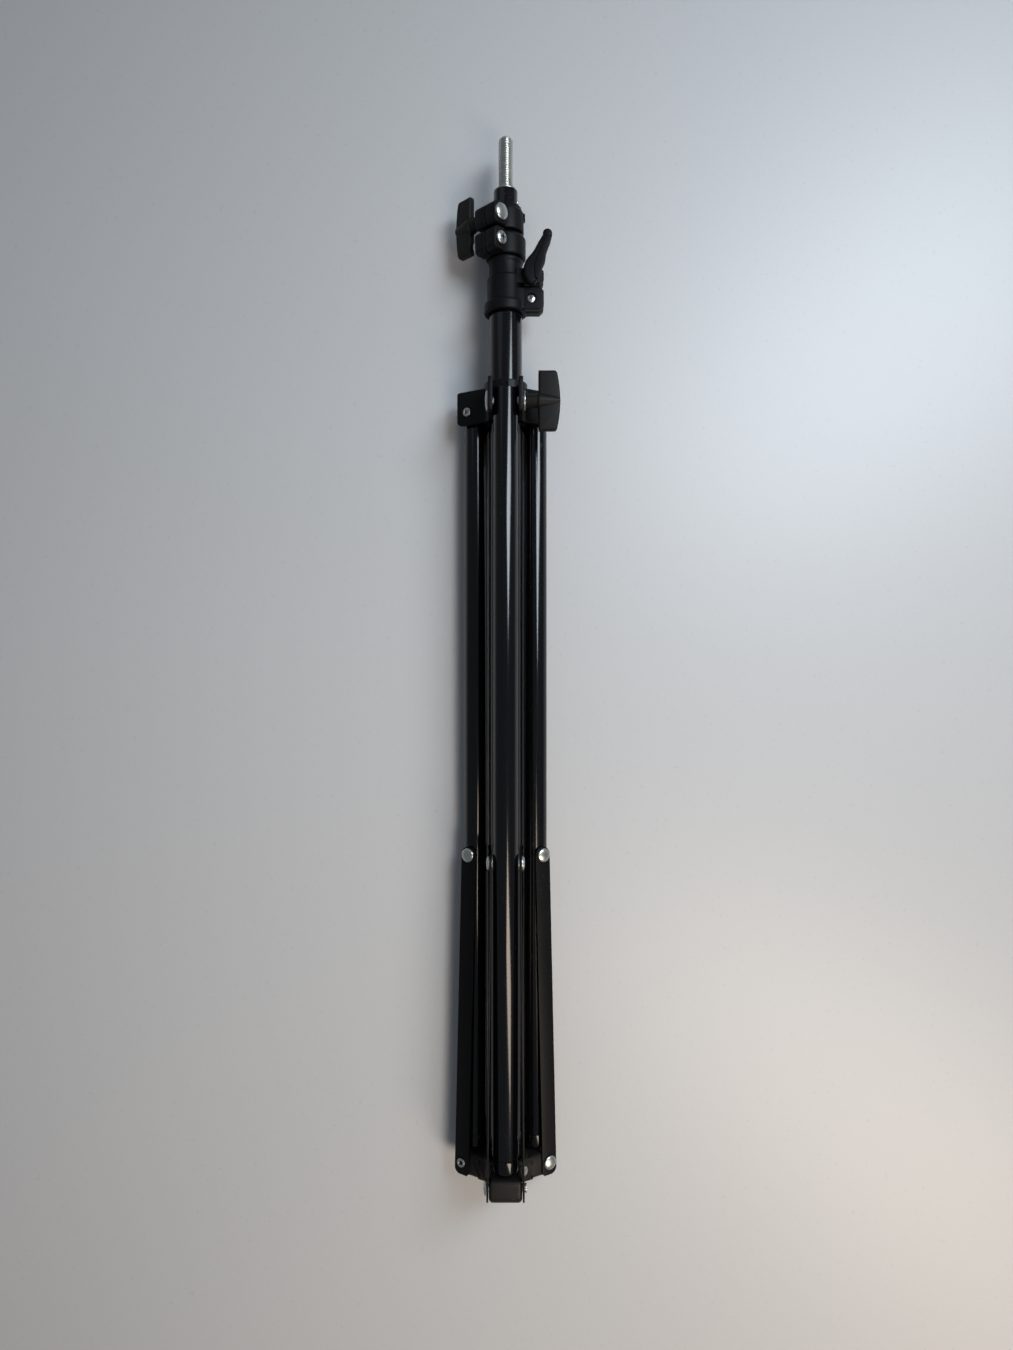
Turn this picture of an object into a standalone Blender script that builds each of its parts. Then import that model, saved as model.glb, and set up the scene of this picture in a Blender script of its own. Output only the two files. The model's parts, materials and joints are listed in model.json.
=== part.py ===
"""Folding lighting stand, folded and lying on its rear legs.

The mast lies along +Y with the threaded stud at the +Y end, +Z points up, and the origin is on the
surface under the middle of the stand. Places along the mast are measured from the end cap's face.
Each leg is built in its own frame: local Z points away from the mast and local Y along it.
"""
import math

import bmesh
import bpy
from mathutils import Euler, Matrix, Vector

MM = 0.001

# ---- driving sizes ----
GAP = 0.3 * MM                      # clearance between pieces that touch
SLOT = 1.0 * MM                     # relief between a clamp's two ears

# mast tubes
OUTER_R = 11.0 * MM
TUBE_WALL = 1.0 * MM
TUBE_PLAY = 0.5 * MM                # between one tube and the next
OUTER_TUBE_LENGTH = 586.5 * MM
PLUG_RISE = 8.3 * MM                # middle tube above the end cap's spigot, when the mast is closed
PLUG_STEP = 5.0 * MM                # top tube above the middle tube's plug
PLUG_FLANGE = 4.0 * MM
NECK = 14.0 * MM                    # top tube standing out of the upper collar
STUD_R = 4.76 * MM                  # 3/8 inch stud
STUD_LENGTH = 36.5 * MM
STUD_TIP_IN, STUD_TIP_LENGTH = 2.4 * MM, 3.0 * MM
STUD_DEPTH = 14.0 * MM              # stud inside its insert
INSERT_FLOOR = 4.0 * MM
SET_SCREW_R, SET_SCREW_DROP = 1.5 * MM, 7.0 * MM

# end cap and lower hub
CAP_HEIGHT = 5.0 * MM
CAP_ROUND = 1.5 * MM
SPIGOT = 13.0 * MM                  # part of a plug that sits inside its tube
HUB_WALL = 3.6 * MM
HUB_HEIGHT = 12.0 * MM
HUB_LUG_DROP = 9.0 * MM             # lug below and above the brace pivot
HUB_LUG_RISE = 6.0 * MM
HUB_LUG_REACH = 4.8 * MM            # lug beyond the pivot
HUB_LUG_ROUND = 5.0 * MM
HUB_PIVOT_RISE = 5.0 * MM           # brace pivots above the hub's lower face
HUB_PIVOT_PROUD = 4.0 * MM          # brace pivots beyond the leg axes
HUB_PIN_R = 2.0 * MM
PIN_HEAD_SPACE = 1.7 * MM           # hub pin's head from the lugs beside it, at least

# legs
LEG_ANGLES = {"front": 0.0, "right": 120.0, "left": 240.0}
LEG_TUBE_R = 8.0 * MM
LEG_SPACE = 0.5 * MM                # between a leg and the spider's sleeve
LEG_PIVOT_DROP = 79.5 * MM          # leg pivots below the outer tube's top
LEG_TOP = 7.4 * MM                  # tube above its pivot
LEG_RELIEF = 0.65                   # corner cut off its end on the mast side, of the radius
FOOT_ABOVE_HUB = 1.5 * MM
FOOT_HEIGHT = 9.0 * MM
PIN_R = 2.5 * MM
PIN_PLAY = 0.3 * MM

# spider
SPIDER_WALL = 3.5 * MM
SPIDER_EAR_ROOT = 0.53 * MM
SPIDER_EAR_WALL = 2.9 * MM
SPIDER_EAR_RISE = 14.0 * MM
SPIDER_EAR_DROP = 8.3 * MM
SPIDER_EAR_REACH = 8.4 * MM
SPIDER_SPLIT = 6.0 * MM
SPIDER_BOLT_R = 3.0 * MM
SPIDER_BOLT_HEAD_R = 6.6 * MM
WASHER_R = 6.2 * MM
WASHER = 1.2 * MM

# braces
BRACE_LENGTH = 205.84 * MM          # pivot to pivot
STRAP_WIDTH = 11.0 * MM
STRAP_WALL = 1.2 * MM
STRAP_TAIL = 8.4 * MM               # strap beyond its lower pivot
STRAP_SPACE = 1.0 * MM              # between a leg tube and a strap's inner face
STRAP_SPREAD = 1.9 * MM             # straps further apart at the hub
RIVET_HEAD_R = 4.6 * MM
RIVET_HEAD = 2.0 * MM
RIVET_TAIL_R = 2.9 * MM
RIVET_TAIL = 1.1 * MM

# lever collar, on top of the outer tube
COLLAR_GRIP = 15.5 * MM             # outer tube inside it
FLANGE_WALL, FLANGE_HEIGHT = 3.3 * MM, 7.0 * MM
SLEEVE_WALL, SLEEVE_HEIGHT = 1.3 * MM, 16.5 * MM
THROAT_WALL, THROAT_HEIGHT = 1.5 * MM, 12.5 * MM
THROAT_LIP = 0.5 * MM
SEAT_ABOVE_TUBE = 1.5 * MM
LEVER_EAR_REACH = 8.2 * MM          # ears beyond their bolts
LEVER_EAR_FRONT = 10.2 * MM
LEVER_EAR_BACK = -3.3 * MM
LEVER_SPLIT = 5.0 * MM              # middle of the gap between the ears
LOWER_EAR_HEIGHT = 15.0 * MM
UPPER_EAR_HEIGHT = 10.5 * MM
EAR_STEP = 2.2 * MM                 # space between the lower and the upper ears
LEVER_BOLT_SPACE = 5.9 * MM         # bolts from the outer tube's surface
LEVER_BOLT_R = 1.5 * MM
LEVER_NUT_R = 3.1 * MM              # centre to corner
SCREW_HEAD_R = 2.75 * MM
RECESS_R = 3.35 * MM
LEVER_THICK = 6.0 * MM
LEVER_LENGTH = 27.5 * MM            # pivot to the centre of the round tip
LEVER_TIP_R = 3.0 * MM
LEVER_HUB_R = 5.7 * MM
LEVER_LEAN = 22.5                   # degrees from the mast

# upper collar, in two halves
COLLAR_LOWER_WALL = 3.9 * MM
COLLAR_UPPER_WALL = 4.1 * MM
COLLAR_ANGLE = -45.0                # direction of its ears round the mast
COLLAR_SPLIT_GAP = 2.0 * MM
COLLAR_LOWER_HEIGHT = 15.0 * MM
COLLAR_UPPER_HEIGHT = 14.5 * MM
COLLAR_SHOULDER = 3.0 * MM
COLLAR_BEVEL = 0.8 * MM
COLLAR_EAR_REACH = 5.5 * MM         # ears beyond their bolts
COLLAR_EAR_THICK = 9.0 * MM
COLLAR_BOLT_SPACE = 4.4 * MM        # bolts from the middle tube's surface, at least
COLLAR_HEAD_SPACE = 0.41 * MM       # bolt heads from the sleeve, at least
CARRIAGE_HEAD_R = 5.35 * MM
CLAMP_HEAD_R = 4.35 * MM
CLAMP_BOLT_R = 2.4 * MM
COLLAR_ABOVE_THROAT = 0.5 * MM
COLLAR_WEB = 0.3                    # web starts this far behind the axis, of the upper radius

# wing knobs
KNOB_BOSS_R, KNOB_BOSS = 4.4 * MM, 8.0 * MM
WING_SPAN, WING_DEPTH, WING_THICK = 38.5 * MM, 14.2 * MM, 5.4 * MM
WING_BULGE = 1.6 * MM
KNOB_CONE_R0, KNOB_CONE_R1 = 5.0 * MM, 2.9 * MM
KNOB_BORE = 16.0 * MM

# ---- sizes that follow ----
MIDDLE_R = OUTER_R - TUBE_WALL - TUBE_PLAY
TOP_R = MIDDLE_R - TUBE_WALL - TUBE_PLAY
SPIDER_R = OUTER_R + SPIDER_WALL
LEG_OFFSET = SPIDER_R + LEG_SPACE + LEG_TUBE_R     # leg axis to mast axis
HUB_PIVOT_R = LEG_OFFSET + HUB_PIVOT_PROUD
HUB_PIVOT = CAP_HEIGHT + GAP + HUB_PIVOT_RISE
STRAP_TOP_FACE = LEG_TUBE_R + STRAP_SPACE + STRAP_WALL
STRAP_HUB_FACE = STRAP_TOP_FACE + STRAP_SPREAD
EAR_INNER = LEG_TUBE_R + GAP                       # spider ears' inner faces
SPIDER_EAR_OUTER = EAR_INNER + SPIDER_EAR_WALL
HUB_LUG_SIDE = STRAP_HUB_FACE - STRAP_WALL - GAP
HUB_R = max(OUTER_R + HUB_WALL, (HUB_LUG_SIDE + (RIVET_TAIL_R + PIN_HEAD_SPACE) / 2)
            / math.sin(math.pi / 3) - GAP)
TUBE_BOTTOM = CAP_HEIGHT + GAP
TUBE_TOP = TUBE_BOTTOM + OUTER_TUBE_LENGTH
HUB_BOTTOM = CAP_HEIGHT + GAP
MIDDLE_BOTTOM = CAP_HEIGHT + SPIGOT + PLUG_RISE
TOP_BOTTOM = MIDDLE_BOTTOM + SPIGOT + PLUG_STEP
LEG_PIVOT = TUBE_TOP - LEG_PIVOT_DROP
LEG_FOOT_END = HUB_BOTTOM + HUB_HEIGHT + FOOT_ABOVE_HUB
FLANGE_R, SLEEVE_R = OUTER_R + FLANGE_WALL, OUTER_R + SLEEVE_WALL
THROAT_R = MIDDLE_R + THROAT_WALL
FLANGE_BOTTOM = TUBE_TOP - COLLAR_GRIP
LEVER_BOLT_OUT = OUTER_R + LEVER_BOLT_SPACE
LEVER_EAR_OUT = LEVER_BOLT_OUT + LEVER_EAR_REACH
COLLAR_LOWER_R, COLLAR_UPPER_R = MIDDLE_R + COLLAR_LOWER_WALL, TOP_R + COLLAR_UPPER_WALL
COLLAR_EAR_FACE = COLLAR_EAR_THICK + SLOT / 2 + GAP
COLLAR_BOLT_OUT = max(MIDDLE_R + COLLAR_BOLT_SPACE, CLAMP_HEAD_R + COLLAR_HEAD_SPACE + math.sqrt(
    max(COLLAR_LOWER_R ** 2 - COLLAR_EAR_FACE ** 2, 0)))
COLLAR_EAR_OUT = COLLAR_BOLT_OUT + COLLAR_EAR_REACH
FLANGE_TOP = FLANGE_BOTTOM + FLANGE_HEIGHT
SLEEVE_TOP = FLANGE_TOP + SLEEVE_HEIGHT
THROAT_TOP = SLEEVE_TOP + THROAT_HEIGHT
LOWER_EAR_TOP = FLANGE_BOTTOM + LOWER_EAR_HEIGHT
UPPER_EAR_BOTTOM = LOWER_EAR_TOP + EAR_STEP
UPPER_EAR_TOP = UPPER_EAR_BOTTOM + UPPER_EAR_HEIGHT
LEVER_PIVOT = UPPER_EAR_BOTTOM + UPPER_EAR_HEIGHT / 2
COLLAR_BOTTOM = THROAT_TOP + COLLAR_ABOVE_THROAT
COLLAR_SPLIT = COLLAR_BOTTOM + COLLAR_LOWER_HEIGHT
COLLAR_UPPER = COLLAR_SPLIT + COLLAR_SPLIT_GAP
COLLAR_TOP = COLLAR_UPPER + COLLAR_UPPER_HEIGHT
NECK_TOP = COLLAR_TOP + NECK
STUD_TOP = NECK_TOP + STUD_LENGTH
BRACE_TILT = math.asin((LEG_OFFSET - HUB_PIVOT_R) / BRACE_LENGTH)
STRAP_FLARE = math.atan((STRAP_HUB_FACE - STRAP_TOP_FACE) / BRACE_LENGTH)
RIVET_FLANGE_FACE = LEG_TUBE_R + GAP


def reach_down(out, side):
    """How far a rear leg's point reaches below the mast axis."""
    return out * math.cos(math.radians(60)) + side * math.sin(math.radians(60))


MAST_HEIGHT = max(
    reach_down(HUB_PIVOT_R + STRAP_WIDTH / 2, STRAP_HUB_FACE),
    reach_down(HUB_PIVOT_R, STRAP_HUB_FACE + RIVET_HEAD),
    reach_down(LEG_OFFSET + SPIDER_EAR_REACH, SPIDER_EAR_OUTER),
)

# ---- the scene and the tree of frames ----
for old in list(bpy.data.objects):
    bpy.data.objects.remove(old, do_unlink=True)

parts = bpy.data.collections.new("lighting_stand")
cutters = bpy.data.collections.new("cutters")
for collection in (parts, cutters):
    bpy.context.scene.collection.children.link(collection)


def empty(name, parent=None, place=(0, 0, 0), turn=(0, 0, 0)):
    """A frame that pieces are placed in."""
    frame = bpy.data.objects.new(name, None)
    frame.empty_display_size = 0.02
    frame.parent = parent
    frame.location = place
    frame.rotation_euler = Euler(turn)
    parts.objects.link(frame)
    return frame


def material(name, colour, metallic, roughness):
    finish = bpy.data.materials.new(name)
    finish.use_nodes = True
    shader = finish.node_tree.nodes["Principled BSDF"]
    shader.inputs["Base Color"].default_value = (*colour, 1)
    shader.inputs["Metallic"].default_value = metallic
    shader.inputs["Roughness"].default_value = roughness
    return finish


BLACK_TUBE = material("black_gloss_tube", (0.012, 0.012, 0.016), 0.2, 0.22)
BLACK_STEEL = material("black_painted_steel", (0.02, 0.02, 0.022), 0.1, 0.45)
BLACK_PLASTIC = material("black_plastic", (0.022, 0.022, 0.024), 0.0, 0.55)
ZINC = material("zinc_plated_steel", (0.75, 0.76, 0.76), 1.0, 0.3)

# local Z of a turned piece or a plate onto these directions
ALONG_MAST = Euler((-math.pi / 2, 0, 0))
SIDEWAYS = Euler((0, math.pi / 2, 0))
OTHER_SIDE = Euler((0, -math.pi / 2, 0))
OUTWARD = Euler((0, 0, 0))


def add(name, mesh, finish, parent, place=(0, 0, 0), turn=OUTWARD, collection=parts):
    """One object in the tree of frames."""
    piece = bpy.data.objects.new(name, mesh)
    piece.parent = parent
    piece.location = place
    piece.rotation_euler = turn
    if finish:
        mesh.materials.append(finish)
    collection.objects.link(piece)
    return piece


def lathe(piece, steps):
    """Turn a profile in the XZ plane about local Z."""
    screw = piece.modifiers.new("Turn", "SCREW")
    screw.axis = "Z"
    screw.steps = screw.render_steps = steps
    screw.use_merge_vertices = True
    screw.merge_threshold = 0.00001
    return piece


def turned(name, profile, finish, parent, place=(0, 0, 0), turn=OUTWARD, steps=20, closed=False,
           collection=parts):
    """A turned piece. The profile lists (radius, height) down its outer side."""
    mesh = bpy.data.meshes.new(name)
    points = [(r, 0, z) for r, z in profile]
    count = len(points)
    edges = [(i, i + 1) for i in range(count - 1)]
    if closed:
        edges.append((count - 1, 0))
    mesh.from_pydata(points, edges, [])
    return lathe(add(name, mesh, finish, parent, place, turn, collection), steps)


def ring(name, outer, inner, bottom, top, finish, parent, steps=32, collection=parts):
    """A plain sleeve round the mast between two heights."""
    profile = [(outer, top), (outer, bottom), (inner, bottom), (inner, top)]
    return turned(name, profile, finish, parent, turn=ALONG_MAST, steps=steps, closed=True,
                  collection=collection)


def arc(centre, radius, start, end, pieces=5):
    """Points on an arc, angles in degrees."""
    step = (end - start) / pieces
    angles = [math.radians(start + step * i) for i in range(pieces + 1)]
    return [(centre[0] + radius * math.cos(a), centre[1] + radius * math.sin(a)) for a in angles]


def dome(radius, base, height, pieces=3):
    """Profile points of a domed head, from its crown to its rim."""
    angles = [math.pi / 2 * i / pieces for i in range(pieces + 1)]
    return [(radius * math.sin(a), base + height * math.cos(a)) for a in angles]


def as_mesh(piece):
    """Replace an object by a mesh copy with its modifiers applied and its doubles merged."""
    bpy.context.view_layer.update()
    evaluated = piece.evaluated_get(bpy.context.evaluated_depsgraph_get())
    mesh = bpy.data.meshes.new_from_object(evaluated)
    shape = bmesh.new()
    shape.from_mesh(mesh)
    bmesh.ops.remove_doubles(shape, verts=shape.verts, dist=0.000001)
    shape.to_mesh(mesh)
    shape.free()
    solid = bpy.data.objects.new(piece.name + "_solid", mesh)
    home = piece.users_collection[0]
    home.objects.link(solid)
    solid.parent = piece.parent
    solid.matrix_basis = piece.matrix_basis.copy()
    name = piece.name
    bpy.data.objects.remove(piece, do_unlink=True)
    solid.name = name
    return solid


def plate(name, outline, thick, finish, parent, place=(0, 0, 0), turn=OUTWARD, collection=parts):
    """A flat piece: an outline in local XY, half its thickness to each side."""
    curve = bpy.data.curves.new(name, "CURVE")
    curve.dimensions = "2D"
    curve.fill_mode = "BOTH"
    curve.extrude = thick / 2
    line = curve.splines.new("POLY")
    line.points.add(len(outline) - 1)
    for point, (x, y) in zip(line.points, outline):
        point.co = (x, y, 0, 1)
    line.use_cyclic_u = True
    return as_mesh(add(name, curve, finish, parent, place, turn, collection))


def block(name, low, high, finish, parent, collection=parts):
    """A box between two corners of its parent's frame."""
    low, high = Vector(low), Vector(high)
    mesh = bpy.data.meshes.new(name)
    shape = bmesh.new()
    bmesh.ops.create_cube(shape, size=1, matrix=Matrix.Diagonal((*(high - low), 1)))
    shape.to_mesh(mesh)
    shape.free()
    return add(name, mesh, finish, parent, (low + high) / 2, OUTWARD, collection)


def hide(cutter):
    cutter.hide_render = True
    cutter.display_type = "WIRE"
    return cutter


def boolean(piece, other, operation):
    step = piece.modifiers.new(operation.title(), "BOOLEAN")
    step.operation = operation
    step.solver = "EXACT"
    step.object = hide(other)
    return piece


def cut(piece, *others):
    for other in others:
        boolean(piece, other, "DIFFERENCE")
    return piece


def join(piece, *others):
    for other in others:
        boolean(piece, other, "UNION")
    return piece


def rod(name, radius, start, end, parent, place, turn=SIDEWAYS, steps=12):
    """A round cutter along the turned local Z."""
    return turned(name, [(0, end), (radius, end), (radius, start), (0, start)], None, parent, place,
                  turn, steps, collection=cutters)


stand = empty("stand", place=(0, -STUD_TOP / 2, MAST_HEIGHT))


# ---- mast tubes ----
def mast():
    ring("outer_mast_tube", OUTER_R, OUTER_R - TUBE_WALL, TUBE_BOTTOM, TUBE_TOP, BLACK_TUBE, stand)
    ring("middle_mast_tube", MIDDLE_R, MIDDLE_R - TUBE_WALL, MIDDLE_BOTTOM,
         COLLAR_SPLIT, BLACK_TUBE, stand)
    top = ring("top_mast_tube", TOP_R, TOP_R - TUBE_WALL, TOP_BOTTOM, NECK_TOP, BLACK_TUBE, stand)
    cut(top, rod("set_screw_hole", SET_SCREW_R + GAP, 0, TOP_R * 2, stand,
                 (0, NECK_TOP - SET_SCREW_DROP, 0)))
    for name, bottom, tube_r, bore_r in (
        ("middle_tube_plug", MIDDLE_BOTTOM, MIDDLE_R - TUBE_WALL, MIDDLE_R),
        ("top_tube_plug", TOP_BOTTOM, TOP_R - TUBE_WALL, TOP_R),
    ):
        spigot_r = tube_r - GAP
        profile = [(0, bottom + SPIGOT), (spigot_r, bottom + SPIGOT), (spigot_r, bottom - GAP),
                   (bore_r, bottom - GAP), (bore_r, bottom - PLUG_FLANGE),
                   (0, bottom - PLUG_FLANGE)]
        turned(name, profile, BLACK_PLASTIC, stand, turn=ALONG_MAST)


def stud():
    """The metal insert in the top tube, its grub screw and the 3/8 inch stud."""
    flange, flange_height = TOP_R - 0.6 * MM, 0.8 * MM
    inside = TOP_R - TUBE_WALL - GAP
    seat = NECK_TOP + GAP
    hole = STUD_R + GAP / 2
    floor = seat - STUD_DEPTH
    profile = [(hole, seat + flange_height), (flange, seat + flange_height), (flange, seat),
               (inside, seat), (inside, floor - INSERT_FLOOR), (0, floor - INSERT_FLOOR),
               (0, floor), (hole, floor)]
    insert = turned("stud_insert", profile, ZINC, stand, turn=ALONG_MAST, closed=True)
    screw_y = NECK_TOP - SET_SCREW_DROP
    cut(insert, rod("set_screw_seat", SET_SCREW_R + GAP, 0, TOP_R, stand, (0, screw_y, 0)))
    bottom = floor + GAP
    turned("threaded_stud", [(0, STUD_TOP), (STUD_R - STUD_TIP_IN, STUD_TOP),
                             (STUD_R, STUD_TOP - STUD_TIP_LENGTH), (STUD_R, bottom), (0, bottom)],
           ZINC, stand, turn=ALONG_MAST)
    head = dome(SET_SCREW_R, TOP_R + 0.2 * MM, 0.4 * MM)
    turned("set_screw", head + [(SET_SCREW_R, STUD_R + GAP), (0, STUD_R + GAP)], ZINC, stand,
           (0, screw_y, 0), SIDEWAYS, 12)


def end_cap():
    """The moulded cap under the mast, and the pin from the hub's ring through it into a rear lug."""
    inside = OUTER_R - TUBE_WALL - GAP
    corner = arc((OUTER_R - CAP_ROUND, CAP_ROUND), CAP_ROUND, 0, -90)
    profile = [(0, CAP_HEIGHT + SPIGOT), (inside, CAP_HEIGHT + SPIGOT), (inside, CAP_HEIGHT),
               (OUTER_R, CAP_HEIGHT), *corner, (0, 0)]
    cap = turned("mast_end_cap", profile, BLACK_PLASTIC, stand, turn=ALONG_MAST, steps=32)
    across = empty("hub_pin_direction", stand, (0, HUB_PIVOT, 0), (0, math.radians(60), 0))
    outside = HUB_R + GAP
    pin_hole = rod("hub_pin_hole", HUB_PIN_R + GAP, -outside - GAP, HUB_R * 2, across, (0, 0, 0),
                   OUTWARD)
    for piece in (cap, bpy.data.objects["outer_mast_tube"]):
        cut(piece, pin_hole)
    profile = dome(RIVET_TAIL_R, outside, 1.4 * MM) + [
        (HUB_PIN_R, outside), (HUB_PIN_R, -outside), (0, -outside)]
    turned("hub_pin", profile, ZINC, across, turn=OUTWARD, steps=16)
    return pin_hole


# ---- brackets ----
def ear_outline(out0, out1, bottom, top, corner):
    """A bracket ear with rounded outer corners."""
    lower = arc((out1 - corner, bottom + corner), corner, -90, 0)
    upper = arc((out1 - corner / 2, top - corner / 2), corner / 2, 0, 90, 3)
    return [(out0, bottom)] + lower + upper + [(out0, top)]


def add_ears(body, frame, sides, outline, thick, label):
    """Join a plate to the bracket on each side of a leg's plane."""
    for number, side in enumerate(sides):
        ear = plate(f"{label}_ear_{number}", outline, thick, None, frame, (side, 0, 0), OTHER_SIDE,
                    cutters)
        join(body, ear)


def hub(pin_hole):
    """A ring round the mast with a solid lug between each pair of straps, and one bore through all."""
    top = HUB_BOTTOM + HUB_HEIGHT
    body = turned("lower_hub", [(0, top), (HUB_R, top), (HUB_R, HUB_BOTTOM), (0, HUB_BOTTOM)],
                  BLACK_STEEL, stand, turn=ALONG_MAST, steps=32)
    low, high = HUB_PIVOT - HUB_LUG_DROP, HUB_PIVOT + HUB_LUG_RISE
    outline = ear_outline(OUTER_R / 2, HUB_PIVOT_R + HUB_LUG_REACH, low, high, HUB_LUG_ROUND)
    for name, frame in leg_frames.items():
        join(body, plate(f"hub_{name}_lug", outline, 2 * HUB_LUG_SIDE, None, frame, (0, 0, 0),
                         OTHER_SIDE, cutters))
    bore = OUTER_R + GAP
    cut(body, turned("hub_bore", [(0, top + GAP), (bore, top + GAP), (bore, low - GAP),
                                  (0, low - GAP)], None, stand, turn=ALONG_MAST, steps=32,
                     collection=cutters))
    for name, frame in leg_frames.items():
        cut(body, rod(f"hub_{name}_pivot_hole", PIN_R + PIN_PLAY, -20 * MM, 20 * MM, frame,
                      (0, HUB_PIVOT, HUB_PIVOT_R)))
    cut(body, pin_hole)
    return body


def spider():
    bottom, top = LEG_PIVOT - SPIDER_EAR_DROP, LEG_PIVOT + SPIDER_EAR_RISE
    body = ring("leg_spider", SPIDER_R, OUTER_R + GAP, bottom, top, BLACK_STEEL, stand)
    middle = EAR_INNER + SPIDER_EAR_WALL / 2
    root = math.sqrt((OUTER_R + SPIDER_EAR_ROOT) ** 2 - EAR_INNER ** 2)
    outline = ear_outline(root, LEG_OFFSET + SPIDER_EAR_REACH, bottom, top, 3.0 * MM)
    for name, frame in leg_frames.items():
        add_ears(body, frame, (middle, -middle), outline, SPIDER_EAR_WALL, f"spider_{name}")
    cut(body, block("spider_split", (-SPIDER_SPLIT / 2, bottom - GAP, 0),
                    (SPIDER_SPLIT / 2, top + GAP, SPIDER_R * 1.2), None, stand, cutters))
    for name, frame in leg_frames.items():
        radius = SPIDER_BOLT_R if name == "front" else PIN_R
        cut(body, rod(f"spider_{name}_pivot_hole", radius + PIN_PLAY, -20 * MM, 20 * MM, frame,
                      (0, LEG_PIVOT, LEG_OFFSET)))


def pivot_pins():
    """The clamp bolt through the front leg, and a rivet through each rear leg."""
    face = SPIDER_EAR_OUTER + GAP
    front = leg_frames["front"]
    place = (0, LEG_PIVOT, LEG_OFFSET)
    knob_end = face + WASHER + GAP + KNOB_BORE - 1.5 * MM
    profile = dome(SPIDER_BOLT_HEAD_R, face, 1.8 * MM) + [
        (SPIDER_BOLT_R, face), (SPIDER_BOLT_R, -knob_end), (0, -knob_end)]
    turned("spider_bolt", profile, ZINC, front, place, OTHER_SIDE, 20)
    turned("spider_washer", [(WASHER_R, face + WASHER), (WASHER_R, face),
                             (SPIDER_BOLT_R + GAP, face), (SPIDER_BOLT_R + GAP, face + WASHER)],
           ZINC, front, place, SIDEWAYS, 20, closed=True)
    for name in ("right", "left"):
        through_rivet(f"leg_{name}_pivot_rivet", face, leg_frames[name], place)


def through_rivet(name, face, frame, place):
    """A rivet with its domed head on one side and its rolled tail on the other."""
    hollow = PIN_R - 1.0 * MM
    profile = dome(RIVET_HEAD_R, face, RIVET_HEAD) + [
        (PIN_R, face), (PIN_R, -face), (RIVET_TAIL_R, -face),
        (RIVET_TAIL_R, -face - RIVET_TAIL), (hollow, -face - RIVET_TAIL),
        (hollow, -face + 2 * MM), (0, -face + 2 * MM)]
    return turned(name, profile, ZINC, frame, place, OTHER_SIDE, 12)


# ---- legs and braces ----
def leg(name, frame):
    hinge = empty(f"leg_{name}_hinge", frame, (0, LEG_PIVOT, LEG_OFFSET))
    foot_top = LEG_FOOT_END + FOOT_HEIGHT - LEG_PIVOT
    inside = LEG_TUBE_R - TUBE_WALL
    profile = [(LEG_TUBE_R, LEG_TOP), (LEG_TUBE_R, foot_top + GAP), (inside, foot_top + GAP),
               (inside, LEG_TOP)]
    tube = turned(f"leg_{name}_tube", profile, BLACK_TUBE, hinge, turn=ALONG_MAST, closed=True)
    plug_r = inside - GAP
    plug = turned(f"leg_{name}_top_plug", [(0, LEG_TOP), (plug_r, LEG_TOP), (plug_r, -SPIGOT),
                                           (0, -SPIGOT)], BLACK_PLASTIC, hinge, turn=ALONG_MAST)
    # the corner next to the mast is cut away, so that the leg can swing out past the spider
    reach = 1.5 * LEG_TUBE_R
    relief = block(f"leg_{name}_relief", (-reach, -reach, -reach), (reach, reach, reach), None,
                   hinge, cutters)
    relief.location = Vector((0, LEG_TOP, (LEG_RELIEF - 1) * LEG_TUBE_R)) + Vector((0, 1, -1)) * (
        reach / math.sqrt(2))
    relief.rotation_euler = (math.radians(-45), 0, 0)
    bore = SPIDER_BOLT_R if name == "front" else PIN_R
    hole = rod(f"leg_{name}_pivot_hole", bore + PIN_PLAY, -15 * MM, 15 * MM, hinge, (0, 0, 0))
    for piece in (tube, plug):
        cut(piece, relief, hole)
    foot_bottom = LEG_FOOT_END - LEG_PIVOT
    corner = arc((LEG_TUBE_R - 3 * MM, foot_bottom + 3 * MM), 3 * MM, 0, -90, 3)
    profile = [(0, foot_top + SPIGOT), (plug_r, foot_top + SPIGOT), (plug_r, foot_top),
               (LEG_TUBE_R, foot_top), *corner, (0, foot_bottom)]
    turned(f"leg_{name}_foot", profile, BLACK_PLASTIC, hinge, turn=ALONG_MAST)


def strap_outline():
    """Rounded at the leg, and at the hub a square end with its outer corner rounded."""
    half = STRAP_WIDTH / 2
    top = arc((0, BRACE_LENGTH), half, 0, 180, 10)
    inner = [(-half, -STRAP_TAIL + 1.5 * MM), (-half + 1.5 * MM, -STRAP_TAIL)]
    outer = arc((half - 4.5 * MM, -STRAP_TAIL + 4.5 * MM), 4.5 * MM, -90, 0)
    return top + inner + outer


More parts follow.
